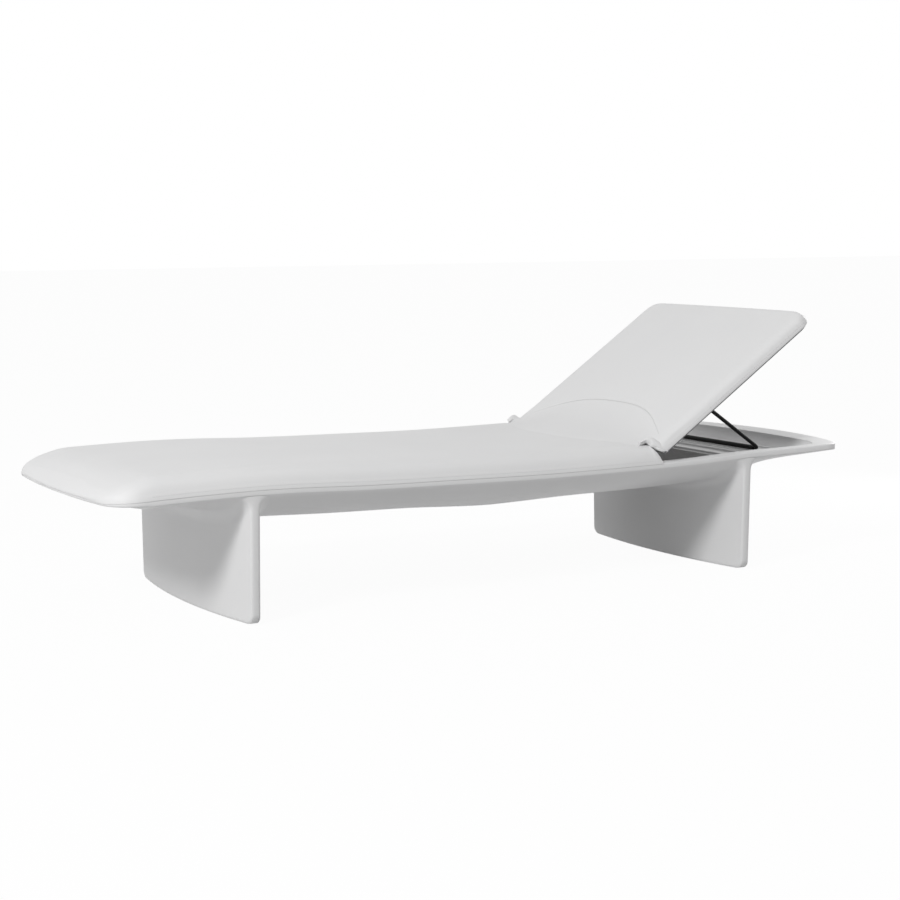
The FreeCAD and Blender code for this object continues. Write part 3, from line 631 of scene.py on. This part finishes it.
def leg_columns(leg_x):
    """Columns of points round a leg, from its foot up to the end of the fillet."""
    heights = np.concatenate([[0.0, 0.012, 0.03], np.linspace(0.06, 1.0, 14)])
    bends = np.radians(np.linspace(0.0, 90.0, 11))[1:]
    grid = []
    for y, side in leg_outline():
        thick = leg_half(y)
        start_z = float(hull_z(leg_x + side * thick, y)) - leg_fillet
        past = max(abs(y * leg_foot_half_width / half_width) - leg_foot_half_width + leg_corner, 0.0)
        foot_z = leg_floor + leg_corner - math.sqrt(max(leg_corner**2 - past**2, 0.0))
        column = []
        for share in heights:
            z = foot_z + (start_z - foot_z) * share
            reach = leg_foot_half_width + (half_width - leg_foot_half_width) * z / start_z
            y_here = y * reach / half_width
            ease = foot_round * (1 - float(quarter(share / foot_round_share)))
            column.append((leg_x + side * max(thick - ease, 1.0), y_here, z))
        for bend in bends:
            x = leg_x + side * (thick + leg_fillet * (1 - math.cos(bend)))
            z = float(hull_z(x, y)) - leg_fillet * (1 - math.sin(bend))
            column.append((x, y, z + leg_overlap * math.sin(bend) ** 8))
        grid.append(column)
    return grid


def add_leg(leg_x):
    """Adds a closed leg to the shell's points and faces."""
    grid = leg_columns(leg_x)
    first, height, count = len(shell_points), len(grid[0]), len(grid)
    for column in grid:
        shell_points.extend(column)
    for i in range(count):
        for j in range(height - 1):
            a = first + i * height + j
            b = first + ((i + 1) % count) * height + j
            shell_faces.append((a, b, b + 1, a + 1))
    far = 2 * face_count + len(cap_angles) - 1
    for level in (0, height - 1):

        def at(k):
            return first + (k % count) * height + level

        for i in range(face_count - 1):
            shell_faces.append((at(i), at(i + 1), at(far - i - 1), at(far - i)))
        shell_faces.append(tuple(at(face_count - 1 + k) for k in range(len(cap_angles) + 2)))
        shell_faces.append(tuple(at(far + k) for k in range(len(cap_angles) + 2)))


# %% Put shell and legs together
for leg_x in (front_leg_x, rear_leg_x):
    add_leg(leg_x)
base_moulding = mesh_object("base_moulding", shell_points, shell_faces, moulding)
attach(base_moulding, "base")
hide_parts("base_shell", "front_leg", "rear_leg")

# %% [markdown]
# ## The pads
# A pad is foam in a sewn cover: nearly square at the hem, a soft shoulder, then a slight
# crown. Each row of the mesh is one closed loop: up one side, over the top, down the
# other side, and back underneath, where a recess takes the board.

# %% Pad sections
pad_side_shares = [(0.0, 0.0), (0.05, 0.30), (0.14, 0.56), (0.30, 0.76), (0.58, 0.89), (1.0, 0.95)]
seat_pad_height = 48.0
pad_shoulder = 62.0
toe_slope = 66.0
toe_run = 112.0
toe_height = 5.0
toe_ease = 2.3
cover_wrap = 0.8
hem_drop = 3.0
seat_pad_end = 367.5
board_inset = 20.0
board_lift = 8.9
board_end_gap = 9.0
hinge_lift = 15.2
underside = 0.4
thinnest = 0.8
seat_bow_run = 170.0
back_pad_height = 29.0
back_shoulder = 38.0
back_side = 341.0
back_base = 6.6
back_start = 16.0
back_end = 583.0
back_corner = 42.0
back_end_rounding = 15.0
back_wrap_drop = 4.0
back_wrap_out = 2.6
board_near_end = 29.5
board_far_end = 576.0
nose_run = 22.0
nose_fall = 24.0
nose_lift = 16.0


def smooth_path(points, shares):
    """Points of a smooth curve through the given points, at shares of its length."""
    points = np.asarray(points, float)
    run = np.concatenate([[0.0], np.cumsum(np.linalg.norm(np.diff(points, axis=0), axis=1))])
    at = np.asarray(shares) * run[-1]
    return np.stack([form_line(list(zip(run, points[:, k])), at) for k in range(points.shape[1])], axis=1)


def pad_half(half, height, shoulder):
    """Half a section, from the hem to the middle of the crown, as (across, up)."""
    points = [(half - a * shoulder, b * height) for a, b in pad_side_shares]
    points += [(0.5 * (half - shoulder), 0.985 * height), (0.0, height)]
    length = sum(math.dist(a, b) for a, b in zip(points, points[1:]))
    bend = (height + shoulder) / length
    shares = np.concatenate([np.linspace(0, bend, 18), np.linspace(bend, 1, 18)[1:]])
    return smooth_path(points, shares)


def pad_row(place, half, height, shoulder, recess_half, recess_up, drop=hem_drop):
    """One loop round a pad, put in its place by a function of (across, up)."""
    side = [(half - 0.6, -drop), (half, 0.6 - drop)] + [(y, up) for y, up in pad_half(half, height, shoulder)]
    side = [(y, max(up, recess_up + thinnest) if abs(y) < recess_half else up) for y, up in side]
    over = side + [(-y, up) for y, up in side[:-1][::-1]]
    inside = [(share * recess_half, recess_up) for share in (-1.0, -0.5, 0.0, 0.5, 1.0)]
    under = [(-recess_half, underside)] + inside + [(recess_half, underside)]
    return [place(y, up) for y, up in over + under], len(over)


def pad_mesh(name, rows):
    """Joins the loops of a pad and closes both ends."""
    loops = [row[0] for row in rows]
    over_count = rows[0][1]
    size = len(loops[0])
    points = [p for loop in loops for p in loop]
    faces = ladder(len(loops), size, closed=True)
    for start in (0, (len(loops) - 1) * size):
        over = [start + k for k in range(over_count)]
        under = [start + k for k in range(over_count, size)][::-1]
        faces += zip_chains(over, under)
    return mesh_object(name, points, faces, cover, smooth_angle=60.0)


# %% Seat pad
def board_reach(middle_x, side_x, half):
    """How far across a bowed row the seat board reaches."""
    corner_y = half_width - foot_corner_radius
    centre = foot_end_radius - foot_length
    corner_x = centre - math.sqrt((foot_end_radius - foot_corner_radius) ** 2 - corner_y**2)
    corner_radius = foot_corner_radius - board_inset
    reach = 0.0
    for y in np.arange(5.0, half - board_inset, 2.0):
        x = middle_x + (side_x - middle_x) * (y / half) ** 2
        foot = centre - math.sqrt((foot_end_radius - board_inset) ** 2 - y**2)
        in_corner = y < corner_y or x > corner_x or math.hypot(x - corner_x, y - corner_y) < corner_radius
        if x > foot and in_corner:
            reach = y
    return reach


def toe_rise(run):
    """Height of the pad at a distance from its foot end."""
    left = 1 - min(run / toe_run, 1.0)
    return toe_height + (seat_pad_height - toe_height) * (1 - left**toe_ease)


def toe_row(share, fade=1.0):
    """A bowed row of the seat pad's toe, out to the rounded corner of the outline."""
    side_x, side_y, out_x, out_y, _ = end_outline(share, -1)
    side_x, half = side_x + out_x * cover_wrap, side_y + out_y * cover_wrap
    middle_x = toe_slope * share - foot_length - cover_wrap * (1 - share)
    recess = board_reach(middle_x, side_x, half)

    def place(y, up):
        x = middle_x + (side_x - middle_x) * (y / half) ** 2
        return x, y, float(deck_z(x)) + up

    height = toe_rise(toe_slope * share) * fade
    drop = toe_band - 0.6 + (hem_drop + 0.6 - toe_band) * share
    lift = board_lift if recess else underside
    return pad_row(place, half, height, pad_shoulder, recess or half - board_inset, lift, drop)


def body_row(x, height=None, shoulder=pad_shoulder):
    """A row of the pad's body. Near the toe it still bows, and past the board it clears the hinges."""
    lift = board_lift if x < hinge_x - board_end_gap else hinge_lift
    height = toe_rise(x + foot_length) if height is None else height
    bow = body_bow * max(0.0, 1 - (x - body_start) / seat_bow_run) ** 2

    def place(y, up):
        px = x + bow * (y / half_width) ** 2
        return px, y, float(deck_z(px)) + up

    return pad_row(place, half_width + cover_wrap, height, shoulder, half_width - board_inset + 0.6, lift)


body_start = toe_slope - foot_length
body_bow = end_outline(1.0, -1)[0] - body_start
toe_shares = (0.02, 0.05, 0.10, 0.15, 0.20, 0.26, 0.31, 0.36, 0.42, 0.5, 0.6, 0.7, 0.8, 0.9, 1.0)
seat_rows = [toe_row(0.0, 0.5), toe_row(0.008, 0.85)]
seat_rows += [toe_row(share) for share in toe_shares]
seat_rows += [body_row(x) for x in np.linspace(body_start, seat_pad_end, 96)[1:]]
end_sections = [
    (371.0, 47.5, 55.0), (372.3, 46.5, 48.0), (372.8, 46.0, 46.0), (376.0, 40.5, 36.0), (380.0, 35.0, 26.0),
    (385.0, 28.5, 22.0), (389.0, 21.0, 20.0), (392.5, 13.0, 18.0), (395.0, 6.5, 18.0), (396.5, 2.5, 18.0),
]
seat_rows += [body_row(x, height, shoulder) for x, height, shoulder in end_sections]
seat_pad = pad_mesh("seat_pad_cover", seat_rows)


# %% Back pad
tilt_c, tilt_s = math.cos(back_angle), math.sin(back_angle)


def on_back(along, across, up):
    """A place on the raised back: along its board from the hinge line, and square to it."""
    return hinge_x + along * tilt_c - up * tilt_s, across, hinge_z + along * tilt_s + up * tilt_c


def back_row(along):
    """A row of the back pad. Its nose at the hinge thins out and lifts off the board."""
    nose = 1 - float(quarter((along - back_start) / nose_run))
    corner = 1 - float(quarter((back_end - along) / back_corner))
    tail = back_end_rounding * (1 - float(quarter((back_end - along) / back_end_rounding)))
    height = back_pad_height - nose_fall * nose - tail
    half = back_side - back_corner * corner
    lift = back_base + nose_lift * nose
    wrap = back_wrap_drop if board_near_end < along < board_far_end else 0.0
    half += back_wrap_out if wrap else 0.0
    recess = half - 1.2 if wrap else half - 12.0

    def place(y, up):
        return on_back(along, y, lift + up)

    return pad_row(place, half, height, back_shoulder, recess, underside, wrap)


ends = 1 - np.cos(np.linspace(0.0, math.pi / 2, 12))
along_rows = [back_start + s * nose_run for s in ends]
along_rows += list(np.linspace(back_start + nose_run, back_end - back_corner, 38)[1:-1])
along_rows += [back_end - s * back_corner for s in ends[::-1]]
back_pad = pad_mesh("back_pad_cover", [back_row(along) for along in along_rows])

# %% [markdown]
# ## Puffing the pads
# A foam pad presses against its cover, so the cover swells between its hems. Cloth
# simulation does that: the hem is pinned, pressure pushes from inside, and gravity is off.
# The swelling is capped, so that the pad keeps its size.


# %% Cloth pass
puff_frames = 20
puff_cap = 0.0016


def puff(piece, pinned, cap, pressure=4.0):
    """Swells a closed mesh with cloth pressure, keeping the pinned points still."""
    data = piece.data
    start = np.array([v.co[:] for v in data.vertices])
    group = piece.vertex_groups.new(name="pinned")
    group.add([i for i, p in enumerate(start) if pinned(p)], 1.0, "REPLACE")
    cloth = piece.modifiers.new("cloth", "CLOTH")
    cloth.settings.vertex_group_mass = "pinned"
    cloth.settings.use_pressure = True
    cloth.settings.uniform_pressure_force = pressure
    cloth.settings.effector_weights.gravity = 0.0
    cloth.point_cache.frame_end = puff_frames
    for step in range(1, puff_frames + 1):
        bpy.context.scene.frame_set(step)
    swollen = piece.evaluated_get(bpy.context.evaluated_depsgraph_get()).to_mesh()
    moved = np.array([v.co[:] for v in swollen.vertices]) - start
    piece.modifiers.clear()
    piece.vertex_groups.clear()
    bpy.context.scene.frame_set(1)
    reach = np.linalg.norm(moved, axis=1, keepdims=True)
    moved *= cap * np.tanh(reach / cap) / np.maximum(reach, 1e-9)
    for vertex, place in zip(data.vertices, start + moved):
        vertex.co = place
    print(piece.name, "swelled by up to", round(float(reach.max()) * 1000, 1), "mm, kept", cap * 1000)


def finer(piece):
    """One level of subdivision, applied."""
    smooth = piece.modifiers.new("finer", "SUBSURF")
    smooth.levels = smooth.render_levels = 1
    made = evaluated_mesh(piece)
    piece.modifiers.clear()
    piece.data = made


def seat_pinned(p):
    """The seat pad's hem, toe and hinge end stay still."""
    rim = float(deck_z(p[0] / MM - to_middle)) * MM
    return p[2] < rim + 0.010 or p[0] > 0.34 or p[0] < -0.99


def back_pinned(p):
    """The back pad's hem and nose stay still."""
    dx, dz = p[0] - (hinge_x + to_middle) * MM, p[2] - hinge_z * MM
    return dz * tilt_c - dx * tilt_s < 0.0115 or dx * tilt_c + dz * tilt_s < 0.05


puff(seat_pad, seat_pinned, puff_cap)
puff(back_pad, back_pinned, puff_cap)
for piece, body in ((seat_pad, "base"), (back_pad, "back")):
    finer(piece)
    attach(piece, body)
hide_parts("seat_pad")
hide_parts("back_pad")

# %% [markdown]
# ## The cover over the hinge
# One cover wraps both pads, so over the hinge it is a loose web: it leaves the seat at a
# bowed crease, spans the inner corner, and lies smoothly against the back. At each side
# it bunches up into a soft roll that runs down to the back board's corner.

# %% Where the web starts and ends
crease_line = [(0, 257), (60, 258), (120, 264), (180, 280), (230, 303), (275, 328), (310, 346), (330, 352)]
web_stations = [0.0, 40.0, 80.0, 120.0, 160.0, 200.0, 230.0, 255.0, 275.0, 290.0, 300.0, 308.0]
web_count = 25
ridge_line = [
    (348, 341.6), (358.7, 349.8), (370.7, 353.6), (382.2, 349.2), (392.9, 339.3), (401.5, 329.4), (410.3, 320.6),
]
ridge_across = [314.0, 317.0, 322.0, 327.0, 333.0, 338.5, 343.5]
lower_line = [
    (346.5, 340.8), (359.5, 346), (368, 341), (373, 334), (380, 330), (392.5, 324.3), (402.4, 320.5), (410.4, 317.4),
]
lower_across = [317.0, 322.0, 327.0, 332.0, 335.0, 340.0, 343.0, 344.0]
web_rise = math.radians(12.0)
web_fall = math.radians(1.5)
web_thickness = 0.0024


def top_of_seat(x, y):
    """Height of the seat pad's face above the deck line."""
    section = pad_half(half_width + cover_wrap, toe_rise(x + foot_length), pad_shoulder)[::-1]
    return float(np.interp(abs(y), section[:, 0], section[:, 1]))


def top_of_back(y):
    """Height of the back pad's face above its board's line."""
    section = pad_half(back_side + back_wrap_out, back_pad_height, back_shoulder)[::-1]
    return back_base + float(np.interp(abs(y), section[:, 0], section[:, 1]))


def web_curve(y):
    """The web at one place across: from its crease on the seat to its end on the back."""
    crease_x = float(form_line(crease_line, abs(y)))
    along = 14.0 + 1.1 * (371.0 - crease_x)
    first = np.array([crease_x, float(deck_z(crease_x)) + top_of_seat(crease_x, y) - 0.4])
    end_x, _, end_z = on_back(along + 14.0, y, top_of_back(y) - 1.0)
    last = np.array([end_x, end_z])
    length = float(np.linalg.norm(last - first))
    second = first + 0.36 * length * np.array([math.cos(web_rise), math.sin(web_rise)])
    steep = back_angle - web_fall
    third = last - 0.40 * length * np.array([math.cos(steep), math.sin(steep)])
    t = np.linspace(0, 1, web_count)[:, None]
    return (1 - t) ** 3 * first + 3 * t * (1 - t) ** 2 * second + 3 * t**2 * (1 - t) * third + t**3 * last


# %% Web
def side_curve(line, across):
    """A line of the roll at the web's side."""
    places = [(x, y, z) for (x, z), y in zip(line, across)]
    return smooth_path(places, np.linspace(0, 1, web_count))


half_web = [np.insert(web_curve(y), 1, y, axis=1) for y in web_stations]
ridge = side_curve(ridge_line, ridge_across)
lower = side_curve(lower_line, lower_across)
belly = (4 * np.linspace(0, 1, web_count) * np.linspace(1, 0, web_count))[:, None]
half_web.append(half_web[-1] * 0.6 + ridge * 0.4 + belly * [0, 0, 2.0])
half_web.append(half_web[-2] * 0.2 + ridge * 0.8 + belly * [0, 0, 1.5])
half_web.append(ridge)
half_web.append(ridge * 0.5 + lower * 0.5 + belly * [0, 3.5, 1.0])
half_web.append(lower)
half_web.append(lower + [0, -4.0, -3.5])
half_web.append(lower + [0, -12.0, -6.0])
web_rows = [row * [1, -1, 1] for row in half_web[:0:-1]] + half_web
web_points = [tuple(p) for row in web_rows for p in row]
web = mesh_object("cover_web", web_points, ladder(len(web_rows), web_count), cover, smooth_angle=80.0)
if web.data.polygons[len(web.data.polygons) // 2].normal.z < 0:
    web.data.flip_normals()
finer(web)
thick = web.modifiers.new("thick", "SOLIDIFY")
thick.thickness = web_thickness
thick.offset = -1.0
fold_data = evaluated_mesh(web)
bpy.data.objects.remove(web)
cover_fold = new_object("cover_fold_soft", fold_data)
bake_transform(cover_fold)
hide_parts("cover_fold")
print("fold faces:", len(fold_data.polygons))

# %% [markdown]
# ## Stitches along the hems
# Each cover is closed by a row of small stitches low on its side. Geometry Nodes repeats
# one stitch along a line: the spacing, length and thread thickness are named inputs.

# %% Stitch nodes
stitch_tree = bpy.data.node_groups.new("stitch_row", "GeometryNodeTree")
stitch_sockets = {}
stitch_tree.interface.new_socket("Line", in_out="INPUT", socket_type="NodeSocketGeometry")
for label, kind, value in (
    ("Pitch", "NodeSocketFloat", 0.0065),
    ("Stitch length", "NodeSocketFloat", 0.0045),
    ("Thread radius", "NodeSocketFloat", 0.00045),
    ("Seed", "NodeSocketInt", 7),
):
    socket = stitch_tree.interface.new_socket(label, in_out="INPUT", socket_type=kind)
    socket.default_value = value
    stitch_sockets[label] = socket.identifier
stitch_tree.interface.new_socket("Stitches", in_out="OUTPUT", socket_type="NodeSocketGeometry")


def geo(kind, links=(), **settings):
    """Adds a node to the stitch tree and links outputs into its named inputs."""
    made = stitch_tree.nodes.new(kind)
    for key, value in settings.items():
        setattr(made, key, value)
    for name, source in links:
        stitch_tree.links.new(source, made.inputs[name])
    return made


given = geo("NodeGroupInput").outputs
line = geo("GeometryNodeMeshToCurve", [("Mesh", given["Line"])])
spacing = [("Curve", line.outputs[0]), ("Length", given["Pitch"])]
spaced = geo("GeometryNodeResampleCurve", spacing, mode="LENGTH")
bead = geo("GeometryNodeMeshUVSphere")
for label, value in (("Segments", 6), ("Rings", 4), ("Radius", 1.0)):
    bead.inputs[label].default_value = value
half_length = geo("ShaderNodeMath", operation="MULTIPLY")
stitch_tree.links.new(given["Stitch length"], half_length.inputs[0])
half_length.inputs[1].default_value = 0.5
thread_radius = given["Thread radius"]
size = geo("ShaderNodeCombineXYZ", [("X", half_length.outputs[0]), ("Y", thread_radius), ("Z", thread_radius)])
uneven = geo("FunctionNodeRandomValue", data_type="FLOAT")
floats = [s for s in uneven.inputs if s.type == "VALUE" and s.enabled]
floats[0].default_value, floats[1].default_value = 0.9, 1.1
stitch_tree.links.new(given["Seed"], uneven.inputs["Seed"])
uneven_out = next(s for s in uneven.outputs if s.enabled and s.type == "VALUE")
scaled = geo("ShaderNodeVectorMath", operation="SCALE")
stitch_tree.links.new(size.outputs[0], scaled.inputs[0])
stitch_tree.links.new(uneven_out, scaled.inputs["Scale"])
tangent = geo("GeometryNodeInputTangent").outputs[0]
heading = geo("FunctionNodeAlignRotationToVector", [("Vector", tangent)], axis="X")
placed = geo("GeometryNodeInstanceOnPoints", [
    ("Points", spaced.outputs[0]), ("Instance", bead.outputs["Mesh"]),
    ("Rotation", heading.outputs[0]), ("Scale", scaled.outputs[0])])
real = geo("GeometryNodeRealizeInstances", [("Geometry", placed.outputs[0])])
finished = geo("GeometryNodeSetMaterial", [("Geometry", real.outputs[0])])
thread = mottled("white_thread", (0.72, 0.72, 0.72), (0.66, 0.66, 0.66), 0.6, scale=900.0)
finished.inputs["Material"].default_value = thread.material
geo("NodeGroupOutput", [("Stitches", finished.outputs[0])])


# %% Stitch rows on both pads
def stitch_row(name, body, lines, pitch):
    """Puts stitches along the given lines and turns them into one mesh."""
    data = bpy.data.meshes.new(name)
    points, edges = [], []
    for path in lines:
        first = len(points)
        points += [((x + to_middle) * MM, y * MM, z * MM) for x, y, z in path]
        edges += [(first + k, first + k + 1) for k in range(len(path) - 1)]
    data.from_pydata(points, edges, [])
    row = new_object(name, data)
    repeat = row.modifiers.new("stitches", "NODES")
    repeat.node_group = stitch_tree
    repeat[stitch_sockets["Pitch"]] = pitch
    made = evaluated_mesh(row)
    row.modifiers.clear()
    row.data = made
    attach(row, body)
    print(name, "faces:", len(made.polygons))


def seat_hem(side):
    """A line low on one side of the seat pad."""
    up = 7.0
    section = pad_half(half_width + cover_wrap, seat_pad_height, pad_shoulder)[:18]
    across = float(np.interp(up, section[:, 1], section[:, 0])) + 0.1
    places = np.linspace(toe_run - foot_length, seat_pad_end - 4, 120)
    return [(x, side * across, float(deck_z(x)) + up) for x in places]


def back_hem():
    """The lines low on both sides of the back pad, round its upper corners."""
    up = 6.0
    section = pad_half(back_side + back_wrap_out, back_pad_height, back_shoulder)[:18]
    inset = back_side - float(np.interp(up, section[:, 1], section[:, 0]))
    corner_x, corner_y = back_end - back_corner, back_side - back_corner
    radius = back_corner - inset + 0.1
    path = [on_back(s, -(back_side - inset + 0.1), back_base + up) for s in np.linspace(50.0, corner_x, 60)]
    for a in np.linspace(0.1, 1.45, 12):
        along, across = corner_x + radius * math.sin(a), corner_y + radius * math.cos(a)
        path.append(on_back(along, -across, back_base + up))
    return path, [(x, -y, z) for x, y, z in path]


stitch_row("seat_hem_stitches", "base", [seat_hem(-1), seat_hem(1)], 0.0065)
stitch_row("back_hem_stitches", "back", back_hem(), 0.0065)

# %% [markdown]
# ## The stage
# The lounger stands on white paper in a bright studio. One large soft lamp stands high at the
# foot end, on the camera's side. A weak one behind the head end lights the open tray, and
# the white room fills in the rest.

# %% Floor
floor_data = bpy.data.meshes.new("floor")
floor_data.from_pydata([(-30, -30, 0), (30, -30, 0), (30, 30, 0), (-30, 30, 0)], [], [(0, 1, 2, 3)])
floor = new_object("floor", floor_data)


def seen_rays(tree, share):
    """A share for what the camera sees straight, in a gloss or through glass, else 0."""
    path = tree.nodes.new("ShaderNodeLightPath").outputs
    straight = Wire(tree, path["Is Camera Ray"])
    gloss = Wire(tree, path["Is Glossy Ray"])
    through = Wire(tree, path["Is Transmission Ray"])
    return (straight + gloss + through) * share


def show_by_ray(tree, out, plain, seen, share):
    """Gives one shader to the rays of the picture and the other to bouncing light."""
    mix = tree.nodes.new("ShaderNodeMixShader")
    tree.links.new(seen_rays(tree, share).socket, mix.inputs[0])
    tree.links.new(plain.outputs[0], mix.inputs[1])
    tree.links.new(seen.outputs[0], mix.inputs[2])
    tree.links.new(mix.outputs[0], out.inputs["Surface"])


paper = bpy.data.materials.new("white_paper")
paper.use_nodes = True
tree = paper.node_tree
tree.nodes.clear()
out = tree.nodes.new("ShaderNodeOutputMaterial")
matt = tree.nodes.new("ShaderNodeBsdfDiffuse")
matt.inputs["Color"].default_value = (0.62, 0.62, 0.62, 1)
glow = tree.nodes.new("ShaderNodeEmission")
glow.inputs["Color"].default_value = (1, 1, 1, 1)
glow.inputs["Strength"].default_value = 1.02
show_by_ray(tree, out, matt, glow, 0.94)
floor_data.materials.append(paper)

# %% Room
world = bpy.data.worlds.new("studio")
bpy.context.scene.world = world
world.use_nodes = True
tree = world.node_tree
tree.nodes.clear()
out = tree.nodes.new("ShaderNodeOutputWorld")
room = tree.nodes.new("ShaderNodeBackground")
room.inputs["Color"].default_value = (1, 1, 1, 1)
room.inputs["Strength"].default_value = 0.49
back_white = tree.nodes.new("ShaderNodeBackground")
back_white.inputs["Color"].default_value = (1, 1, 1, 1)
back_white.inputs["Strength"].default_value = 1.0
show_by_ray(tree, out, room, back_white, 1.0)


# %% Lamps
def soft_lamp(name, place, target, size, power):
    """A round lamp that faces its target."""
    data = bpy.data.lights.new(name, "AREA")
    data.shape = "DISK"
    data.size = size
    data.energy = power
    lamp = new_object(name, data)
    lamp.location = place
    lamp.rotation_euler = (Vector(target) - Vector(place)).to_track_quat("-Z", "Y").to_euler()
    return lamp


soft_lamp("key", (-6.5, -3.6, 5.1), (0.0, 0.0, 0.25), 1.7, 370.0)
behind = soft_lamp("tray_fill", (2.2, 0.5, 0.76), (0.58, 0.0, 0.26), 0.8, 9.0)
behind.visible_camera = False
bpy.context.scene.view_settings.view_transform = "Standard"
